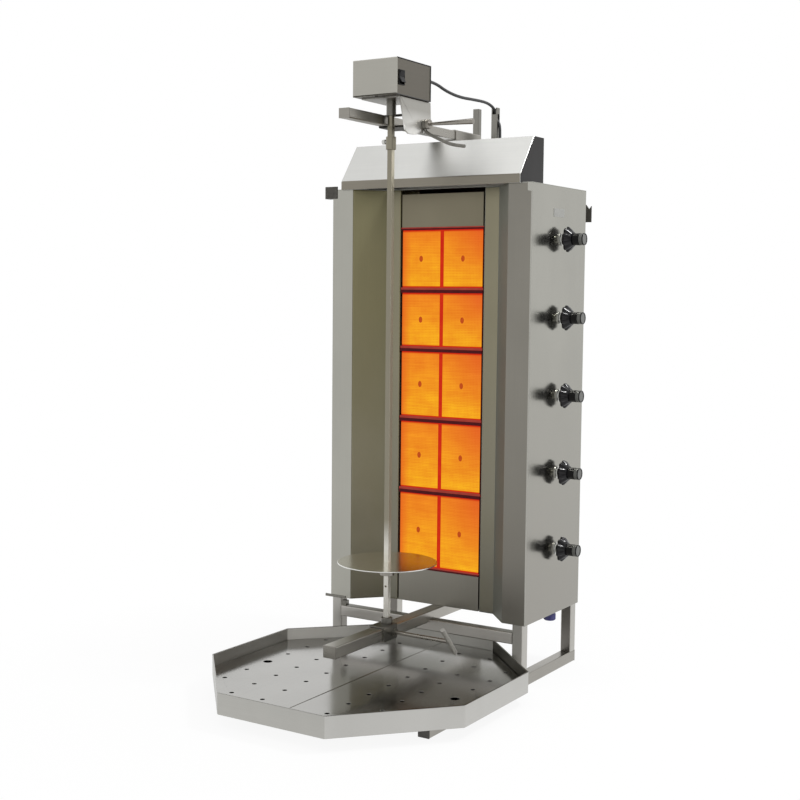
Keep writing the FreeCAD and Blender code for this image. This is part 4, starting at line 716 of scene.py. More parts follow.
# Painted reflections on the flanges, the wings' strips and the hood's lip and ends, and a painted highlight
# on the right panel's front corner.
def tint_cabinet():
    tint_faces(sheets["side_panel_left"], FRONT, left_flange_painted_reflection)
    tint_faces(sheets["side_panel_right"], FRONT, right_flange_painted_reflection)
    tint_faces(sheets["side_panel_right"], RIGHT_CORNER, corner_painted_highlight, 0.8)
    for wing in ("wing_left", "wing_right"):
        tint_faces(sheets[wing], FRONT, strip_painted_reflection, SQUARELY)
    hood = sheets["flue_hood"]
    lip_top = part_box("flue_hood")[0].z + HOOD_LIP
    tint_faces(hood, RIGHT, hood_end_painted_reflection)
    tint_faces(hood, LEFT, hood_end_painted_reflection)
    tint_faces(hood, FRONT, hood_lip_painted_reflection, 0.95, lambda place: place.z < lip_top)


# Painted reflections on the tray's walls, painted light on its back-left wall, and painted shade on its inner
# right wall and its floor.
def tint_tray():
    tray = sheets["drip_tray"]
    low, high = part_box("drip_tray")
    middle = (low + high) / 2
    tint_faces(tray, FRONT, tray_front_painted_reflection, ROUGHLY)
    tint_faces(tray, RIGHT, tray_side_painted_reflection, ROUGHLY)
    tint_faces(tray, RIGHT_CORNER, tray_back_painted_light, 0.9, lambda place: place.x < 0 and place.y > middle.y)
    tint_faces(tray, INNER_RIGHT, tray_shade_steel, 0.8, lambda place: place.x > 0)
    tint_faces(tray, UP, tray_floor_painted_shade, 0.9, lambda place: place.z < low.z + TRAY_FLOOR)


def tint_bracket():
    """Painted shade: the shoe and jaw under the bracket's plate and behind its cheek are darker than both."""
    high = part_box("motor_bracket")[1]
    cheek_face = high.x - CHEEK_THICKNESS
    plate_low = high.z - PLATE_DEPTH
    tint_faces(sheets["motor_bracket"], None, bracket_painted_shade,
               where=lambda place: place.x < cheek_face and place.z < plate_low)


tint_cabinet()
tint_tray()
tint_bracket()
print("the tray now has", len(sheets["drip_tray"].data.materials), "finishes")

# %% [markdown]
# ## Square tube
#
# The frame is welded from drawn tube, which has rounded corners all along and walls of even thickness.
# That is one rounded outline with a smaller one inside it, pushed along an axis, so a short function
# makes every tube from the frame's own boxes.

# %% A hollow tube
CORNER_STEPS = 4
SMALLEST_CORNER = 0.2 * MM
ALONG_X, ALONG_Y, ALONG_Z = range(3)


def rounded_outline(half_a, half_b, radius):
    """Points of a rectangle with round corners, counter-clockwise."""
    points = []
    for quarter in range(4):
        sign_a = 1 if quarter in (0, 3) else -1
        sign_b = 1 if quarter in (0, 1) else -1
        for step in range(CORNER_STEPS + 1):
            angle = math.pi / 2 * (quarter + step / CORNER_STEPS)
            points.append((sign_a * (half_a - radius) + radius * math.cos(angle),
                           sign_b * (half_b - radius) + radius * math.sin(angle)))
    return points


def tube_bmesh(low, high, axis, radius, wall):
    """A hollow rectangular tube that fills the box, with its length along one axis."""
    a_axis, b_axis = [i for i in range(3) if i != axis]
    middle = (low + high) / 2
    half = (high - low) / 2
    bm = bmesh.new()
    rings = []
    for end in (low[axis], high[axis]):
        for inset in (0, wall):
            ring = []
            for a, b in rounded_outline(half[a_axis] - inset, half[b_axis] - inset,
                                        max(radius - inset, SMALLEST_CORNER)):
                place = [end, end, end]
                place[a_axis] = middle[a_axis] + a
                place[b_axis] = middle[b_axis] + b
                ring.append(bm.verts.new(place))
            rings.append(ring)
    near_out, near_in, far_out, far_in = rings
    for i in range(len(near_out)):
        j = (i + 1) % len(near_out)
        bm.faces.new((near_out[i], near_out[j], far_out[j], far_out[i]))
        bm.faces.new((near_in[j], near_in[i], far_in[i], far_in[j]))
        bm.faces.new((near_out[j], near_out[i], near_in[i], near_in[j]))
        bm.faces.new((far_out[i], far_out[j], far_in[j], far_in[i]))
    bmesh.ops.recalc_face_normals(bm, faces=bm.faces)
    return bm


# %% Tubes of the frame
TUBE_WALL = 1.5 * MM
TUBE_CORNER = 2.6 * MM
POST_CORNER = 1.8 * MM
SOCKET_CORNER = 3.6 * MM
SOCKET_WALL = 2.0 * MM
TUBES = {
    "base_rails": (ALONG_Y, TUBE_CORNER, TUBE_WALL), "legs": (ALONG_Z, TUBE_CORNER, TUBE_WALL),
    "bottom_rail": (ALONG_Y, TUBE_CORNER, TUBE_WALL), "top_rail": (ALONG_Y, TUBE_CORNER, TUBE_WALL),
    "rail_socket": (ALONG_Y, SOCKET_CORNER, SOCKET_WALL),
    "front_crossbar": (ALONG_X, TUBE_CORNER, TUBE_WALL), "rear_posts": (ALONG_Z, POST_CORNER, TUBE_WALL),
}


def drawn_tube(node):
    parts = [tube_bmesh(low, high, *TUBES[node]) for low, high in solids(node)]
    return settle_for(node, node + "_drawn", joined(parts))


tubes = {node: drawn_tube(node) for node in TUBES}
leg_split = front_y + 100 * MM
# Painted reflections on the tubes' faces by the way they face.
tint_faces(tubes["front_crossbar"], FRONT, crossbar_painted_reflection)
tint_faces(tubes["legs"], FRONT, rear_leg_painted_reflection, where=lambda place: place.y > leg_split)
tint_faces(tubes["legs"], FRONT, front_leg_painted_reflection, where=lambda place: place.y < leg_split)
tint_faces(tubes["legs"], RIGHT, leg_side_painted_reflection, where=lambda place: place.x < 0 and place.y < leg_split)
# Painted shade on the left base rail under the tray.
tint_faces(tubes["base_rails"], RIGHT, low_rail_painted_shade, where=lambda place: place.x < 0)
print(len(tubes), "kinds of tube")

# %% [markdown]
# ## Openings for the lead
#
# The power lead drops into the hollow right post and comes out again lower down, through two cuts in
# its wall. A boolean takes a plain box out of the tube for each cut, so the wall's thickness shows at
# the edge. Moving the tube's own points would need new edges all around it.

# %% Slots in the hollow post
SLOT_WIDTH = 9.0 * MM
SLOT_TOP = 14.0 * MM
SLOT_BOTTOM = 43.0 * MM
NOTCH_DEPTH = 15.0 * MM


def box_bmesh(low, high):
    bm = bmesh.new()
    bmesh.ops.create_cube(bm, size=1.0)
    place = Matrix.Translation((low + high) / 2) @ Matrix.Diagonal((*(high - low), 1.0))
    bmesh.ops.transform(bm, verts=bm.verts, matrix=place)
    return bm


def cut_box(piece, low, high):
    """Cuts a box out of a piece's mesh."""
    cutter = new_object(mesh_from(box_bmesh(low, high)), "cutter")
    holder = new_object(piece.data.copy())
    boolean = holder.modifiers.new("cut", "BOOLEAN")
    boolean.object = cutter
    boolean.operation = "DIFFERENCE"
    boolean.solver = "EXACT"
    piece.data = with_even_normals(plain_copy(holder))
    bpy.data.objects.remove(cutter)


def cut_post():
    """The right post takes the lead in through a notch in its front and lets it out through a side slot."""
    low, high = solids("rear_posts")[1]
    middle = (low + high) / 2
    half = SLOT_WIDTH / 2
    cut_box(tubes["rear_posts"], Vector((middle.x - half, low.y - MM, high.z - NOTCH_DEPTH)),
            Vector((middle.x + half, middle.y, high.z + MM)))
    cut_box(tubes["rear_posts"], Vector((middle.x, middle.y - half, high.z - SLOT_BOTTOM)),
            Vector((high.x + MM, middle.y + half, high.z - SLOT_TOP)))


cut_post()
print("the posts have", len(tubes["rear_posts"].data.polygons), "faces with the lead's two openings")

# %% [markdown]
# ## Bars, rods and small parts
#
# Turned and sawn parts have small broken edges that catch the light as a thin line. A bevel on every
# edge above a set angle is enough for them, because all their edges are alike.

# %% Softened small parts
EDGE_RADII = {
    "spit": 0.7, "output_shaft": 0.5, "coupling_sleeve": 0.8, "meat_disc": 1.0, "foot_bearing": 0.8,
    "foot_clamp_handle": 1.2, "foot_clamp_screw": 0.6, "top_clamp_screw": 0.8, "top_clamp_lever": 0.8,
    "foot_saddle": 0.5, "switch_bezel": 0.4, "rocker_switch": 0.5, "side_brackets": 0.5,
    "cable_grommet": 0.4, "knob_bezels": 0.6,
}
RIM_START = 0.45
HUB_END = 0.225
LOW_BRACKETS = 0.5


def softened(node, radius):
    return settle_for(node, node + "_worn", bevelled(merged_copy(node), radius * MM, 2))


def tint_disc(disc):
    """A painted highlight on the rim, and a mid-grey metal on the hub below the disc."""
    low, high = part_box("meat_disc")
    middle = (low + high) / 2
    width = high.x - low.x
    tint_faces(disc, None, disc_rim_painted_highlight, where=lambda place: (place.xy - middle.xy).length > RIM_START * width)
    tint_faces(disc, None, worn_metal, where=lambda place: (place.xy - middle.xy).length < HUB_END * width
               and place.z < high.z - 3 * MM)


small_parts = {node: softened(node, radius) for node, radius in EDGE_RADII.items()}
tint_disc(small_parts["meat_disc"])
# Painted light on the spit's right faces.
tint_faces(small_parts["spit"], RIGHT, spit_side_painted_light)
tint_faces(small_parts["side_brackets"], None, turned_steel, where=lambda place: place.z < LOW_BRACKETS)
small_parts["side_brackets"].visible_glossy = False
print(len(small_parts), "small parts softened")

# %% [markdown]
# ## Tube ends and the box's painted joint shadow
#
# Small plates or plastic plugs close the open tube ends, and thin black strips in the joint at the motor
# box's side paint the shadow there. All of them are plain blocks whose soft edges are what shows, so one
# function makes a box with rounded edges, and each piece is a few of those.

# %% Tube ends
PLATE_THICKNESS = 2.0 * MM
PLUG_INSET = 1.6 * MM
CAP_EDGE = 0.6 * MM


def rounded_box(low, high, radius, segments=3):
    """A box with rounded edges as a bmesh."""
    bm = box_bmesh(low, high)
    bmesh.ops.bevel(bm, geom=list(bm.edges), offset=radius, segments=segments, profile=0.5, affect="EDGES")
    return bm


def end_cap_parts(low, high):
    """A plate over the tube's end and the plug behind it."""
    at_front = low.y < 0
    step = low.y + PLATE_THICKNESS if at_front else high.y - PLATE_THICKNESS
    plate_low = Vector((low.x, low.y if at_front else step, low.z))
    plate_high = Vector((high.x, step if at_front else high.y, high.z))
    inset = Vector((PLUG_INSET, 0, PLUG_INSET))
    plug_low = Vector((low.x, step if at_front else low.y, low.z)) + inset
    plug_high = Vector((high.x, high.y if at_front else step, high.z)) - inset
    return [rounded_box(plate_low, plate_high, CAP_EDGE), rounded_box(plug_low, plug_high, CAP_EDGE)]


def make_tube_ends():
    """Steel plates close the rails' ends, and plastic plugs the front ends under the tray."""
    plates = []
    plugs = []
    base_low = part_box("base_rails")[0].z
    for low, high in solids("tube_end_caps"):
        is_front_plug = abs(low.z - base_low) < MM and low.y < 0
        (plugs if is_front_plug else plates).extend(end_cap_parts(low, high))
    print(len(plates) // 2, "plates and", len(plugs) // 2, "plugs")
    settle("rail_end_plates", joined(plates), tube_sideways, "cabinet", ("tube_end_caps",))
    settle("base_rail_plugs", joined(plugs), grey_plastic, "cabinet", ("tube_end_caps",))


make_tube_ends()

# %% Painted shadow in the joint at the motor box's side
SHADOW_LINE_WIDTH = 1.6 * MM
SHADOW_LINE_THICKNESS = 0.8 * MM
SHADOW_LINE_SUNK = 0.5 * MM


def make_joint_shadow_lines():
    """Thin black strips paint the shadow in the joint between the box's cover and its side plate."""
    low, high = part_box("motor_cover")
    tray_low, tray_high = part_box("motor_tray")
    inner = max(high.x, tray_high.x) - SHADOW_LINE_SUNK
    outer = inner + SHADOW_LINE_THICKNESS
    bottom = min(low.z, tray_low.z)
    strips = [(low.y, high.z - SHADOW_LINE_WIDTH, high.z), (low.y, bottom, bottom + SHADOW_LINE_WIDTH),
              (high.y - SHADOW_LINE_WIDTH, bottom, high.z)]
    parts = [rounded_box(Vector((inner, front, under)), Vector((outer, high.y, top)), 0.3 * MM, 2)
             for front, under, top in strips]
    settle("box_side_seal", joined(parts), black_rubber, "motor_carriage", ())
    print("seal of", len(strips), "strips")


make_joint_shadow_lines()

# %% [markdown]
# ## Perforated radiants
#
# A radiant tile has about a thousand holes. Each is the same small square of ceramic with a round pit,
# so Geometry Nodes lay that square out on a grid, leave a plain spot in the middle, and weld the
# squares into one skin. A bump map would look flat from the side, and a loop in code would be slower.

# %% A tree builder
SOCKET_KINDS = {"number": "NodeSocketFloat", "count": "NodeSocketInt", "object": "NodeSocketObject",
                "material": "NodeSocketMaterial"}


def new_tree(name, inputs):
    """A Geometry Nodes tree with named inputs and one geometry output."""
    tree = bpy.data.node_groups.new(name, "GeometryNodeTree")
    for label, kind in inputs.items():
        tree.interface.new_socket(label, in_out="INPUT", socket_type=SOCKET_KINDS[kind])
    tree.interface.new_socket("Geometry", in_out="OUTPUT", socket_type="NodeSocketGeometry")
    return tree, wire(tree, "NodeGroupInput").outputs


def finish_tree(tree, geometry, material):
    """Makes instances real and sets their material, so that an export keeps both."""
    real = wire(tree, "GeometryNodeRealizeInstances", {"Geometry": geometry})
    dressed = wire(tree, "GeometryNodeSetMaterial", {"Geometry": real.outputs[0], "Material": material})
    wire(tree, "NodeGroupOutput", {0: dressed.outputs[0]})


def grow(tree, values):
    """Runs a tree with the given inputs and returns the mesh that it makes."""
    holder = new_object(bpy.data.meshes.new("seed"))
    modifier = holder.modifiers.new("grow", "NODES")
    modifier.node_group = tree
    for item in tree.interface.items_tree:
        if item.in_out == "INPUT" and item.name in values:
            modifier[item.identifier] = values[item.name]
    return plain_copy(holder)


# %% Tile face tree
WELD_REACH = 0.02 * MM


def tile_face_tree():
    tree, given = new_tree("tile_face", {
        "Pitted cell": "object", "Plain cell": "object", "Pitch": "number", "Columns": "count",
        "Rows": "count", "Spot radius": "number", "Material": "material"})
    spans = [math_node(tree, "MULTIPLY", math_node(tree, "SUBTRACT", given[label], 1.0), given["Pitch"])
             for label in ("Columns", "Rows")]
    grid = wire(tree, "GeometryNodeMeshGrid", {"Size X": spans[0], "Size Y": spans[1],
                                               "Vertices X": given["Columns"], "Vertices Y": given["Rows"]})
    place = wire(tree, "GeometryNodeInputPosition")
    far = wire(tree, "ShaderNodeVectorMath", {0: place.outputs[0]}, operation="LENGTH")
    join = wire(tree, "GeometryNodeJoinGeometry")
    for operation, label in (("GREATER_THAN", "Pitted cell"), ("LESS_EQUAL", "Plain cell")):
        chosen = wire(tree, "FunctionNodeCompare", {"A": far.outputs["Value"], "B": given["Spot radius"]},
                      operation=operation)
        cell = wire(tree, "GeometryNodeObjectInfo", {"Object": given[label]})
        laid_out = wire(tree, "GeometryNodeInstanceOnPoints",
                        {"Points": grid.outputs["Mesh"], "Instance": cell.outputs["Geometry"],
                         "Selection": chosen.outputs[0]})
        tree.links.new(laid_out.outputs[0], join.inputs[0])
    real = wire(tree, "GeometryNodeRealizeInstances", {"Geometry": join.outputs[0]})
    weld = wire(tree, "GeometryNodeMergeByDistance", {"Geometry": real.outputs[0], "Distance": WELD_REACH})
    finish_tree(tree, weld.outputs[0], given["Material"])
    return tree


tile_tree = tile_face_tree()
print("tile tree has", len(tile_tree.nodes), "nodes")

# %% One cell of the tile
CELL = 3.6 * MM
HOLE = 1.9 * MM
HOLE_DEPTH = 2.4 * MM
HOLE_SIDES = 8


def cell_object(name, pitted):
    """A square of tile surface, with a pit or plain, in the XY plane and facing +Z."""
    bm = bmesh.new()
    rim = []
    mouth = []
    bottom = []
    for i in range(HOLE_SIDES):
        angle = 2 * math.pi * i / HOLE_SIDES
        x = math.cos(angle)
        y = math.sin(angle)
        reach = CELL / 2 / max(abs(x), abs(y))
        rim.append(bm.verts.new((reach * x, reach * y, 0)))
        if pitted:
            mouth.append(bm.verts.new((HOLE / 2 * x, HOLE / 2 * y, 0)))
            bottom.append(bm.verts.new((HOLE / 2 * x, HOLE / 2 * y, -HOLE_DEPTH)))
    for i in range(HOLE_SIDES if pitted else 0):
        j = (i + 1) % HOLE_SIDES
        bm.faces.new((rim[i], rim[j], mouth[j], mouth[i]))
        bm.faces.new((mouth[i], mouth[j], bottom[j], bottom[i]))
    bm.faces.new(bottom or rim)
    return new_object(mesh_from(bm), name)


pitted_cell = cell_object("pitted_cell", True)
plain_cell = cell_object("plain_cell", False)
print("a cell has", len(pitted_cell.data.polygons), "faces")

# %% Border and stamp of a tile
STAMP_RADIUS = 4.6 * MM
STAMP_STRETCH = 1.5
STAMP_RISE = 0.5 * MM
TILE_EDGE = 0.8 * MM
FACING_FRONT = Matrix.Rotation(math.pi / 2, 4, "X")
columns = int((plaque_width - 2 * TILE_EDGE) / CELL)


def add_border(bm, half_a, half_b, depth, inner_a, inner_b):
    """The tile's border and sides, around the perforated field, facing +Z."""
    levels = [(inner_a, inner_b, 0.0), (half_a - TILE_EDGE, half_b - TILE_EDGE, 0.0),
              (half_a, half_b, -TILE_EDGE), (half_a, half_b, -depth)]
    rings = []
    for a, b, z in levels:
        rings.append([bm.verts.new((x, y, z)) for x, y in ((-a, -b), (a, -b), (a, b), (-a, b))])
    for inner, outer in zip(rings, rings[1:]):
        for i in range(4):
            j = (i + 1) % 4
            bm.faces.new((inner[i], outer[i], outer[j], inner[j]))
    bm.faces.new(rings[-1][::-1])


def tile_bmesh(tile_face, rows, low, high):
    """One whole tile, turned to face the front and put in its place."""
    size = high - low
    bm = bmesh.new()
    bm.from_mesh(tile_face)
    add_border(bm, size.x / 2, size.z / 2, size.y, columns * CELL / 2, rows * CELL / 2)
    middle = Vector(((low.x + high.x) / 2, low.y, (low.z + high.z) / 2))
    bmesh.ops.transform(bm, verts=bm.verts, matrix=Matrix.Translation(middle) @ FACING_FRONT)
    return bm


def stamp_bmesh(low, high):
    """A plain oval stamp in the middle of a tile."""
    middle = Vector(((low.x + high.x) / 2, low.y - STAMP_RISE / 2, (low.z + high.z) / 2))
    turn = Matrix.Diagonal((1, 1, STAMP_STRETCH, 1)) @ FACING_FRONT
    bm = bmesh.new()
    bmesh.ops.create_cone(bm, segments=24, radius1=STAMP_RADIUS, radius2=STAMP_RADIUS - 0.4 * MM,
                          depth=STAMP_RISE, cap_ends=True, matrix=Matrix.Translation(middle) @ turn)
    return bm


# %% Ten tiles, two to a burner
SPOT_RADIUS = 7.6 * MM


def make_burner_tiles(number, pair, material):
    rows = int((pair[0][1].z - pair[0][0].z - 2 * TILE_EDGE) / CELL)
    tile_face = grow(tile_tree, {"Pitted cell": pitted_cell, "Plain cell": plain_cell, "Pitch": CELL,
                                 "Columns": columns, "Rows": rows, "Spot radius": SPOT_RADIUS,
                                 "Material": material})
    tiles = joined(tile_bmesh(tile_face, rows, low, high) for low, high in pair)
    settle_for("ceramic_plaques", f"radiant_tiles_{number}", tiles, material)
    stamps = joined(stamp_bmesh(low, high) for low, high in pair)
    settle(f"tile_stamps_{number}", stamps, stamp_glow, "cabinet", ())
    return rows


row_counts = [make_burner_tiles(row + 1, pair, ceramics[row]) for row, pair in enumerate(burner_rows)]
bpy.data.objects.remove(pitted_cell)
bpy.data.objects.remove(plain_cell)
print(columns, "by", row_counts, "holes in the tiles")

# %% [markdown]
# ## Rails between the tiles
#
# Pressed rails hold the tiles. Their upper ledges are lit dull red by the tile below, and that light is
# painted on them as a glow; their dark red fronts get a dimmer painted glow. One block with a shader that
# finds the ledge would do, but two blocks with a finish each give a real step between them.

# %% Rails between the tiles
LEDGE_SHARE = 0.42


def make_plaque_rails():
    """Each rail has an upper ledge with painted red light above a front with a dim painted glow."""
    ledges = []
    fronts = []
    for low, high in solids("plaque_rails"):
        step = high.z - LEDGE_SHARE * (high.z - low.z)
        ledges.append(rounded_box(Vector((low.x, low.y + MM, step)), high, 0.5 * MM, 2))
        fronts.append(rounded_box(low, Vector((high.x, high.y, step)), 0.6 * MM, 2))
    print(len(ledges), "rails hold the tiles")
    settle_for("plaque_rails", "plaque_rail_ledges", joined(ledges), rail_ledge_painted_light)
    settle_for("plaque_rails", "plaque_rail_fronts", joined(fronts), rail_front)


make_plaque_rails()

# %% [markdown]
# ## Turned shapes
#
# Knobs, glands, caps and screw heads are all bodies of revolution, some with lobes or flutes around
# them. One function turns an outline about an axis, and an optional wave changes the radius with the
# angle, so a lobed knob is as easy as a plain washer.

# %% Lathe
X_AXIS = Vector((1, 0, 0))
Y_AXIS = Vector((0, 1, 0))
Z_AXIS = Vector((0, 0, 1))
ON_AXIS = 1e-6


def lathe(outline, place, axis, steps=48, wave=None):
    """Turns points about an axis: distance along it, radius and, where there are waves, their depth."""
    bm = bmesh.new()
    side = axis.cross(Y_AXIS if abs(axis.y) < 0.9 else X_AXIS).normalized()
    other = axis.cross(side)
    rings = []
    for along, radius, *depth in outline:
        centre = place + axis * along
        if radius < ON_AXIS:
            rings.append([bm.verts.new(centre)])
            continue
        ring = []
        for i in range(steps):
            angle = 2 * math.pi * i / steps
            reach = radius - (depth[0] * wave(angle) if depth and wave else 0)
            turned = side * reach * math.cos(angle) + other * reach * math.sin(angle)
            ring.append(bm.verts.new(centre + turned))
        rings.append(ring)
    for first, second in zip(rings, rings[1:]):
        for i in range(steps):
            j = (i + 1) % steps
            if len(first) == 1:
                bm.faces.new((first[0], second[i], second[j]))
            elif len(second) == 1:
                bm.faces.new((first[i], first[j], second[0]))
            else:
                bm.faces.new((first[i], first[j], second[j], second[i]))
    bmesh.ops.recalc_face_normals(bm, faces=bm.faces)
    return bm


# %% Waves, corners and outlines


def waves(count, sharpness=1.0):
    """A wave for the lathe: 0 on the tops and 1 in the hollows between them."""
    return lambda angle: (0.5 - 0.5 * math.cos(count * angle)) ** sharpness


def round_corner(along, radius, corner, start, end, steps=4, depth=0.0):
    """Outline points of a rounded corner whose centre is at (along, radius); angles in degrees."""
    points = []
    for i in range(steps + 1):
        angle = math.radians(start + (end - start) * i / steps)
        points.append((along + corner * math.cos(angle), radius + corner * math.sin(angle), depth))
    return points


def near(along, radius, *steps):
    """Outline points that lie some millimetres from a given point."""
    return [(along + a * MM, radius + r * MM) for a, r in steps]


def yz_middle(low, high):
    return Vector((0, (low.y + high.y) / 2, (low.z + high.z) / 2))


# %% [markdown]
# ## Gas knobs
#
# Each knob is a moulded black body on a steel spindle: a wide skirt with ten finger lobes and a
# narrower grip whose end wears a grey band. A bright collar sits behind it. The outline is turned about
# the spindle's axis, and the lobes are a rounded wave on the skirt's radius.

# %% Moulding of a knob
LOBES = 10
LOBE_DEPTH = 3.4 * MM
LOBE_SHARPNESS = 1.8
SKIRT_RADIUS = 27.0 * MM
SKIRT_START = 14.0 * MM
SKIRT_RIM = 5.0 * MM
SKIRT_LENGTH = 16.0 * MM
SKIRT_EDGE = 1.4 * MM
NECK_RADIUS = 16.0 * MM
BORE_RADIUS = 9.0 * MM
GRIP_RADIUS = 13.0 * MM
BAND_LENGTH = 10.0 * MM
FLUTE_DEPTH = 0.5 * MM
FLUTES = 20
KNOB_STEPS = 160


def moulding(centre, start, end, tip):
    """The skirt with its rim and taper, and the fluted grip."""
    rim = start + SKIRT_RIM
    edge_centre = SKIRT_RADIUS - SKIRT_EDGE
    skirt = [(start + 6 * MM, BORE_RADIUS), (start, BORE_RADIUS),
             (start, SKIRT_RADIUS - 4 * MM, LOBE_DEPTH * 0.8)]
    skirt += round_corner(start + SKIRT_EDGE, edge_centre, SKIRT_EDGE, 180, 90, depth=LOBE_DEPTH)
    skirt += round_corner(rim - SKIRT_EDGE, edge_centre, SKIRT_EDGE, 90, 45, depth=LOBE_DEPTH)
    for share in (0.3, 0.6, 0.85):
        radius = SKIRT_RADIUS - 0.4 * SKIRT_EDGE + (NECK_RADIUS - SKIRT_RADIUS) * share
        skirt.append((rim + (end - rim) * share, radius, LOBE_DEPTH * (1 - share)))
    skirt += round_corner(end - MM, NECK_RADIUS - MM, MM, 45, 0, steps=2)
    skirt.append((end, GRIP_RADIUS - MM))
    grip = [(end - MM, GRIP_RADIUS - 2 * MM), (end - 0.5 * MM, GRIP_RADIUS - 0.8 * MM, FLUTE_DEPTH),
            (end + MM, GRIP_RADIUS - 0.4 * MM, FLUTE_DEPTH), (tip - BAND_LENGTH, GRIP_RADIUS, FLUTE_DEPTH),
            (tip - BAND_LENGTH, GRIP_RADIUS - 2 * MM)]
    return [lathe(skirt, centre, X_AXIS, KNOB_STEPS, waves(LOBES, LOBE_SHARPNESS)),
            lathe(grip, centre, X_AXIS, KNOB_STEPS, waves(FLUTES))]


# %% Band, cap, spindle and pointer
SPINDLE_RADIUS = 4.0 * MM
BAND_STEPS = 64


def make_knob(number):
    node = f"knob_{number}"
    low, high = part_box(node)
    centre = yz_middle(low, high)
    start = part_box("side_panel_right")[1].x + SKIRT_START
    tip = high.x

    def add(part, bm, material):
        settle(f"{node}_{part}", mesh_from(bm), material, node, ())

    settle_for(node, node + "_moulding", joined(moulding(centre, start, start + SKIRT_LENGTH, tip)))
    band = (near(tip - BAND_LENGTH, GRIP_RADIUS, (-1, -1.2), (0.4, -0.3))
            + near(tip, GRIP_RADIUS, (-2.4, -0.3), (-2.2, -1.2)))
    add("band", lathe(band, centre, X_AXIS, BAND_STEPS), band_grey)
    lip = (near(tip, GRIP_RADIUS, (-2.6, -2.0), (-2.4, -0.1))
           + round_corner(tip - 0.8 * MM, GRIP_RADIUS - 0.9 * MM, 0.8 * MM, 90, 0)
           + near(tip, GRIP_RADIUS, (-0.6, -2.0), (-1.2, -2.2)))
    add("end", lathe(lip, centre, X_AXIS, BAND_STEPS), black_plastic)
    cap = near(tip, GRIP_RADIUS, (-2.6, -2.0), (-1.3, -2.1), (-1.0, -3.2)) + [(tip - MM, 0.0)]
    add("cap", lathe(cap, centre, X_AXIS, BAND_STEPS), band_grey)
    spindle = [(low.x, 0.0), (low.x, SPINDLE_RADIUS), (start + MM, SPINDLE_RADIUS), (start + MM, 0.0)]
    collar = near(start, SPINDLE_RADIUS, (-3.0, 0.0), (-3.0, 3.5), (-2.2, 4.4), (1.0, 4.4), (1.0, 0.0))
    steel = joined([lathe(spindle, centre, X_AXIS, 32), lathe(collar, centre, X_AXIS)])
    settle(f"{node}_spindle", steel, bright_metal, node, ())
    mark = Vector((start + 1.2 * MM, centre.y - 0.8 * MM, centre.z + SKIRT_RADIUS - 0.5 * MM))
    mark_size = Vector((2.8, 1.6, 0.8)) * MM
    add("pointer", rounded_box(mark, mark + mark_size, 0.3 * MM), mark_paint)


band_grey = plain_finish("band_grey", (104, 105, 102), 0.35, metallic=0.5, contrast=0.06)
for number in range(1, burner_count + 1):
    make_knob(number)
print(burner_count, "knobs with", LOBES, "lobes each")

# %% [markdown]
# ## Screws, caps and glands
#
# Small hardware is what the eye uses to judge size. A pan-head screw is a turned dome with a cross cut
# into it, the gas cap is a ribbed plastic cup, and the lead's strain relief is a rubber taper with
# rings. All are turned outlines, and the loop of screws around the back panel is laid out by Geometry
# Nodes, which need only one screw and the panel's size.

# %% Pan-head screws under the motor box
CROSS_ARM = 0.16
CROSS_REACH = 0.62
HEAD_SIDE = 0.35
COVER_HEAD_HEIGHT = 2.2 * MM
FACING_DOWN = Matrix.Rotation(math.pi, 4, "X")


def screw_object(radius, height):
    """A pan head with a cross recess; it stands on the XY plane and faces +Z."""
    side = height * HEAD_SIDE
    dome = [(height * (HEAD_SIDE + (1 - HEAD_SIDE) * math.sin(angle)), radius * math.cos(angle) ** 0.7)
            for angle in (0.35, 0.7, 1.05, 1.4)]
    outline = [(0.0, 0.0), (0.0, radius), (side, radius)] + dome + [(height, 0.0)]
    screw = new_object(mesh_from(lathe(outline, Vector((0, 0, 0)), Z_AXIS, 24)), "screw")
    reach = radius * CROSS_REACH
    arm = radius * CROSS_ARM
    for a, b in ((reach, arm), (arm, reach)):
        cut_box(screw, Vector((-a, -b, side)), Vector((a, b, height * 2)))
    return screw


def placed_copy(source, place, turn):
    bm = bmesh.new()
    bm.from_mesh(source.data)
    bmesh.ops.transform(bm, verts=bm.verts, matrix=Matrix.Translation(place) @ turn)
    return bm


def make_cover_screws():
    """The two screws under the motor box, with their shanks."""
    screw = screw_object(3.5 * MM, COVER_HEAD_HEIGHT)
    parts = []
    for low, high in solids("cover_screws"):
        middle = Vector(((low.x + high.x) / 2, (low.y + high.y) / 2, low.z + COVER_HEAD_HEIGHT))
        length = high.z - middle.z
        shank = [(0.0, 0.0), (0.0, 1.7 * MM), (length, 1.5 * MM), (length, 0.0)]
        parts += [placed_copy(screw, middle, FACING_DOWN), lathe(shank, middle, Z_AXIS, 20)]
    bpy.data.objects.remove(screw)
    settle_for("cover_screws", "cover_screws_turned", joined(parts), dark_metal)
    print(len(parts) // 2, "cover screws")


make_cover_screws()

# %% Screws of the back panel
BACK_SCREW_INSET = 12.0 * MM
BACK_SCREW_COUNT = 14
MOST_TURNED = 1.5
FACING_BACK = Matrix.Rotation(-math.pi / 2, 4, "X")


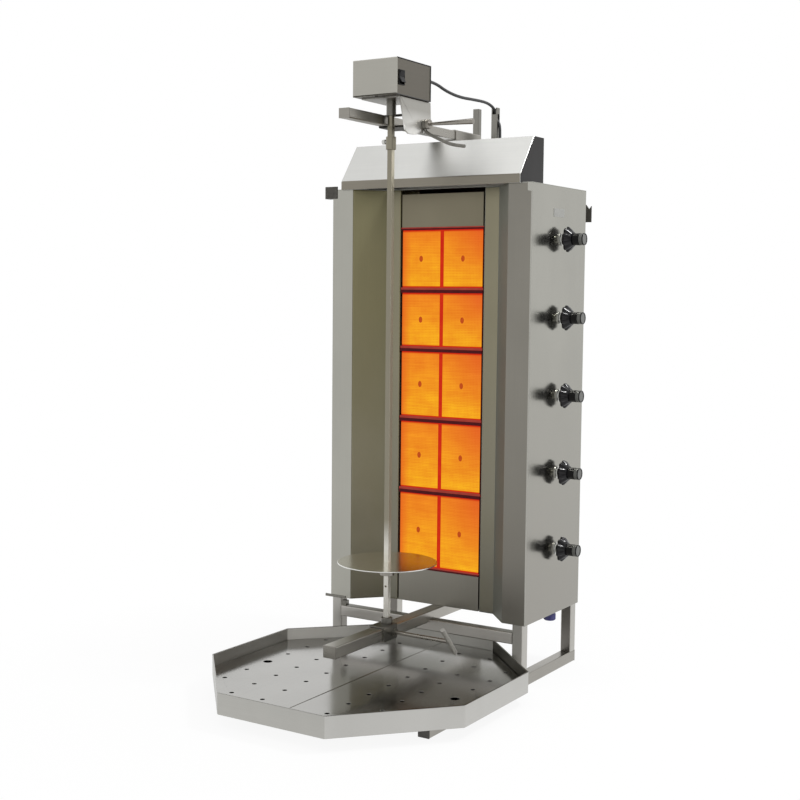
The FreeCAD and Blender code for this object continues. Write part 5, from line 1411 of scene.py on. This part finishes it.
def screw_loop_tree():
    tree, given = new_tree("screw_loop", {"Screw": "object", "Width": "number", "Height": "number",
                                          "Screws": "count", "Material": "material"})
    loop = wire(tree, "GeometryNodeCurvePrimitiveQuadrilateral", {"Width": given["Width"],
                                                                  "Height": given["Height"]})
    points = wire(tree, "GeometryNodeCurveToPoints", {"Curve": loop.outputs[0], "Count": given["Screws"]})
    screw = wire(tree, "GeometryNodeObjectInfo", {"Object": given["Screw"]})
    turned = wire(tree, "FunctionNodeRandomValue", {3: MOST_TURNED, "Seed": 5}, data_type="FLOAT")
    angle = wire(tree, "ShaderNodeCombineXYZ", {"Z": turned.outputs[1]})
    laid_out = wire(tree, "GeometryNodeInstanceOnPoints",
                    {"Points": points.outputs["Points"], "Instance": screw.outputs["Geometry"],
                     "Rotation": angle.outputs[0]})
    finish_tree(tree, laid_out.outputs[0], given["Material"])
    return tree


def make_back_screws():
    low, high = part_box("back_panel")
    screw = screw_object(4.0 * MM, 2.4 * MM)
    loop = grow(screw_loop_tree(), {"Screw": screw, "Width": high.x - low.x - 2 * BACK_SCREW_INSET,
                                    "Height": high.z - low.z - 2 * BACK_SCREW_INSET,
                                    "Screws": BACK_SCREW_COUNT, "Material": bright_metal})
    bpy.data.objects.remove(screw)
    loop.transform(Matrix.Translation(Vector((0, high.y, (low.z + high.z) / 2))) @ FACING_BACK)
    settle("back_panel_screws", loop, bright_metal, "cabinet", ())


make_back_screws()
print(BACK_SCREW_COUNT, "screws around the back panel")

# %% Thumb screws and gas cap
KNURLS = 30
KNURL_DEPTH = 0.3 * MM
KNURL_STEPS = 120
RIB_DEPTH = 0.5 * MM
HAND_SCREW_HEAD = 8.0 * MM
CAP_WALL = 2.9 * MM


def make_thumb_screw(node):
    """A knurled hand screw that points along +X."""
    low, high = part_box(node)
    radius = (high.z - low.z) / 2
    head = low.x + HAND_SCREW_HEAD
    outline = [(low.x, 0.0), (low.x, radius - 1.2 * MM), (low.x + 0.8 * MM, radius, KNURL_DEPTH),
               (head - 0.8 * MM, radius, KNURL_DEPTH), (head, radius - MM), (head, 3.2 * MM),
               (head + MM, 2.5 * MM), (high.x, 2.5 * MM), (high.x, 0.0)]
    turned = lathe(outline, yz_middle(low, high), X_AXIS, KNURL_STEPS, waves(KNURLS))
    settle_for(node, node + "_turned", mesh_from(turned), bright_metal)


def make_gas_cap():
    low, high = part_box("inlet_cap")
    centre = Vector(((low.x + high.x) / 2, (low.y + high.y) / 2, 0))
    radius = (high.x - low.x) / 2
    bore = radius - CAP_WALL
    outline = [(low.z, 0.0), (low.z, radius - 2.5 * MM), (low.z + 1.5 * MM, radius - 0.6 * MM, RIB_DEPTH),
               (low.z + 2.5 * MM, radius, RIB_DEPTH), (high.z - 3 * MM, radius, RIB_DEPTH),
               (high.z - 2 * MM, radius - MM), (high.z, radius - MM), (high.z, bore),
               (low.z + 2.1 * MM, bore), (low.z + 2.1 * MM, 0.0)]
    turned = lathe(outline, centre, Z_AXIS, KNURL_STEPS, waves(KNURLS))
    settle_for("inlet_cap", "inlet_cap_ribbed", mesh_from(turned))


for screw_node in ("coupling_screw", "disc_screw"):
    make_thumb_screw(screw_node)
make_gas_cap()
print("two thumb screws with", KNURLS, "knurls and a ribbed cap")

# %% Strain relief
NUT_LENGTH = 4.0 * MM
NUT_RADIUS = 6.9 * MM
RELIEF_RINGS = 6
FIRST_RING = 5.5 * MM
LAST_RING = 3.9 * MM


def make_strain_relief():
    low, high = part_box("cable_gland")
    centre = Vector(((low.x + high.x) / 2, 0, (low.z + high.z) / 2))
    nut_end = low.y + NUT_LENGTH
    outline = [(low.y, 0.0), (low.y, NUT_RADIUS), (nut_end - 0.8 * MM, NUT_RADIUS), (nut_end, 6.2 * MM)]
    step = (high.y - nut_end) / RELIEF_RINGS
    for ring in range(RELIEF_RINGS):
        start = nut_end + ring * step
        radius = FIRST_RING + (LAST_RING - FIRST_RING) * ring / (RELIEF_RINGS - 1)
        outline += [(start + 0.12 * step, radius), (start + 0.60 * step, radius),
                    (start + 0.66 * step, radius - 0.8 * MM), (start + step, radius - 0.9 * MM)]
    outline += [(high.y, 3.3 * MM), (high.y, 0.0)]
    return settle_for("cable_gland", "strain_relief", mesh_from(lathe(outline, centre, Y_AXIS, 40)))


strain_relief = make_strain_relief()
print("strain relief with", RELIEF_RINGS, "rings")

# %% [markdown]
# ## Power lead
#
# The lead leaves the motor box through a rubber relief, sags a little on its way back, rises over the
# post's notch and drops into the hollow post, then comes out at its side and goes down through the
# roof. It is a short mains lead, so it is one smooth curve that is steered by a few control points. The
# part from the post down stays with the cabinet.

# %% Lead
LEAD_DIAMETER = 6.5 * MM
LEAD_ROUTE = [(30, -50, 1274), (30, -24, 1274), (29.5, 24, 1263), (28.5, 84, 1258.6), (27.5, 148, 1261.8),
              (26, 205, 1263.8), (24.6, 241, 1258), (24, 256, 1247), (24, 256, 1240)]
TAIL_ROUTE = [(24, 256, 1240), (24, 256, 1236), (27.5, 256, 1230), (34.8, 256, 1220), (36.6, 255.4, 1200),
              (36.2, 255.6, 1160), (36.6, 256, 1100), (36.55, 256, 1040)]


def route_curve(route, name, bevel):
    data = bpy.data.curves.new(name, "CURVE")
    data.dimensions = "3D"
    data.resolution_u = 16
    data.bevel_depth = bevel
    data.bevel_resolution = 5
    data.use_fill_caps = True
    spline = data.splines.new("NURBS")
    spline.points.add(len(route) - 1)
    for place, (x, y, z) in zip(spline.points, route):
        place.co = (x * MM, y * MM + front_y, z * MM, 1.0)
    spline.order_u = 3
    spline.use_endpoint_u = True
    return new_object(data, name)


def make_lead():
    path = [v.co.copy() for v in plain_copy(route_curve(LEAD_ROUTE, "lead_line", 0.0)).vertices]
    tube = plain_copy(route_curve(LEAD_ROUTE, "lead_tube", LEAD_DIAMETER / 2))
    tube.materials.clear()
    tube.materials.append(black_rubber)
    for face in tube.polygons:
        face.use_smooth = True
    lead = new_object(tube, "power_lead")
    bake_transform(lead)
    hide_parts("power_cable")
    return path[-1]


def make_tail(start):
    tail = route_curve(TAIL_ROUTE, "lead_tail", LEAD_DIAMETER / 2)
    tail.data.materials.append(black_rubber)
    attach(tail, "cabinet")
    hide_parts("cable_tail")


make_tail(make_lead())

# %% [markdown]
# ## Blank plate
#
# The side panel carries one small thin plate, which stays blank here. A rounded box is enough for it,
# because its finish and its thin edge are all that shows.

# %% Blank plate
PLATE_FRONT = 103 * MM
PLATE_LENGTH = 50 * MM
PLATE_BOTTOM = 0.997
PLATE_HEIGHT = 18 * MM
PLATE_SUNK = 0.1 * MM
PLATE_PROUD = 0.6 * MM


def make_blank_plate():
    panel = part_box("side_panel_right")[1].x
    low = Vector((panel - PLATE_SUNK, front_y + PLATE_FRONT, PLATE_BOTTOM))
    high = Vector((panel + PLATE_PROUD, low.y + PLATE_LENGTH, PLATE_BOTTOM + PLATE_HEIGHT))
    finish = plain_finish("plate_finish", (150, 150, 146), 0.45, metallic=0.5)
    plate = mesh_from(rounded_box(low, high, 0.25 * MM))
    settle("blank_plate", plate, finish, "cabinet", ())


make_blank_plate()
print("plate", round(PLATE_LENGTH / MM), "by", round(PLATE_HEIGHT / MM), "mm")

# %% [markdown]
# ## Room and light
#
# The grill stands in an empty pale studio. The world lights it evenly and shows white behind it. One
# broad lamp gives the sheets a direction, and a small strong one puts a highlight on each knob. Polished
# steel shows what stands around it, so a dark cloth at the right, which only reflections can see, gives
# the left wing its deep tone.

# %% Floor
FLOOR_HALF = 12.0
CHALK = (0.86, 0.86, 0.86, 1)
WHITE = (1, 1, 1, 1)
NEAR_WHITE = 0.90
SHADOW_REACH = (0.35, 1.0)


def seen_directly(tree, *more_rays):
    """1 where the camera, a gloss or another given kind of ray looks, and 0 where light is gathered."""
    ray = wire(tree, "ShaderNodeLightPath").outputs
    seen = ray["Is Camera Ray"]
    for kind in ("Is Glossy Ray", *more_rays):
        seen = math_node(tree, "MAXIMUM", seen, ray[kind])
    return seen


def add_floor():
    """Chalk that keeps the grill's shadow near it and turns into plain white further out."""
    bm = bmesh.new()
    bmesh.ops.create_grid(bm, x_segments=1, y_segments=1, size=FLOOR_HALF)
    floor = new_object(mesh_from(bm), "floor")
    material, tree, shader = new_material("floor")
    tree.nodes.clear()
    place = wire(tree, "ShaderNodeTexCoord")
    far = wire(tree, "ShaderNodeVectorMath", {0: place.outputs["Object"]}, operation="LENGTH")
    share = math_node(tree, "MULTIPLY", seen_directly(tree),
                      spread(tree, far.outputs["Value"], NEAR_WHITE, 1.0, *SHADOW_REACH))
    chalk = wire(tree, "ShaderNodeBsdfDiffuse", {"Color": CHALK})
    white = wire(tree, "ShaderNodeEmission", {"Color": WHITE})
    mix = wire(tree, "ShaderNodeMixShader", {"Fac": share, 1: chalk.outputs[0], 2: white.outputs[0]})
    wire(tree, "ShaderNodeOutputMaterial", {"Surface": mix.outputs[0]})
    floor.data.materials.append(material)


add_floor()
print("floor", 2 * FLOOR_HALF, "m wide")

# %% World and lamps
WORLD_LIGHT = 0.85
LAMP_POWER = 5.0
SPARK_POWER = 28.0
CLOTH_TONE = 0.5


def add_world():
    world = bpy.data.worlds.new("studio")
    bpy.context.scene.world = world
    world.use_nodes = True
    tree = world.node_tree
    level = spread(tree, seen_directly(tree, "Is Transmission Ray"), WORLD_LIGHT, 1.0, 0.0, 1.0)
    feed(tree, tree.nodes["Background"], {"Color": WHITE, "Strength": level})


def aim(thing, place, target):
    thing.location = place
    thing.rotation_mode = "QUATERNION"
    thing.rotation_quaternion = (target - place).to_track_quat("-Z", "Y")


def add_lamp(name, place, target, size, power):
    data = bpy.data.lights.new(name, "AREA")
    data.shape = "RECTANGLE"
    data.size = size
    data.size_y = size
    data.energy = power
    lamp = new_object(data, name)
    aim(lamp, place, target)
    lamp.visible_camera = False


def add_dark_cloth(name, place, target, width, height):
    """A dark cloth that only reflections see."""
    bm = bmesh.new()
    bmesh.ops.create_grid(bm, x_segments=1, y_segments=1, size=0.5)
    bmesh.ops.transform(bm, verts=bm.verts, matrix=Matrix.Diagonal((width, height, 1, 1)))
    cloth = new_object(mesh_from(bm), name)
    aim(cloth, place, target)
    material, tree, shader = new_material(name)
    feed(tree, shader, {"Base Color": (0, 0, 0, 1), "Emission Color": (CLOTH_TONE, CLOTH_TONE, CLOTH_TONE, 1),
                        "Emission Strength": 1.0, "Specular IOR Level": 0.0})
    cloth.data.materials.append(material)
    for kind in ("camera", "diffuse", "shadow", "transmission"):
        setattr(cloth, "visible_" + kind, False)


middle = (cad_box[0] + cad_box[1]) / 2
add_world()
add_lamp("window", middle + Vector((-0.6, -0.9, 2.4)), middle, 0.8, LAMP_POWER)
add_lamp("spark", middle + Vector((1.35, 0.66, 1.7)), middle + Vector((0.28, 0.28, 0)), 0.35, SPARK_POWER)
add_dark_cloth("right_cloth", middle + Vector((2.4, -1.15, 0.0)), middle, 1.3, 2.4)
bpy.context.scene.view_settings.view_transform = "Standard"
print("lamps of", LAMP_POWER, "and", SPARK_POWER, "W, world at", WORLD_LIGHT)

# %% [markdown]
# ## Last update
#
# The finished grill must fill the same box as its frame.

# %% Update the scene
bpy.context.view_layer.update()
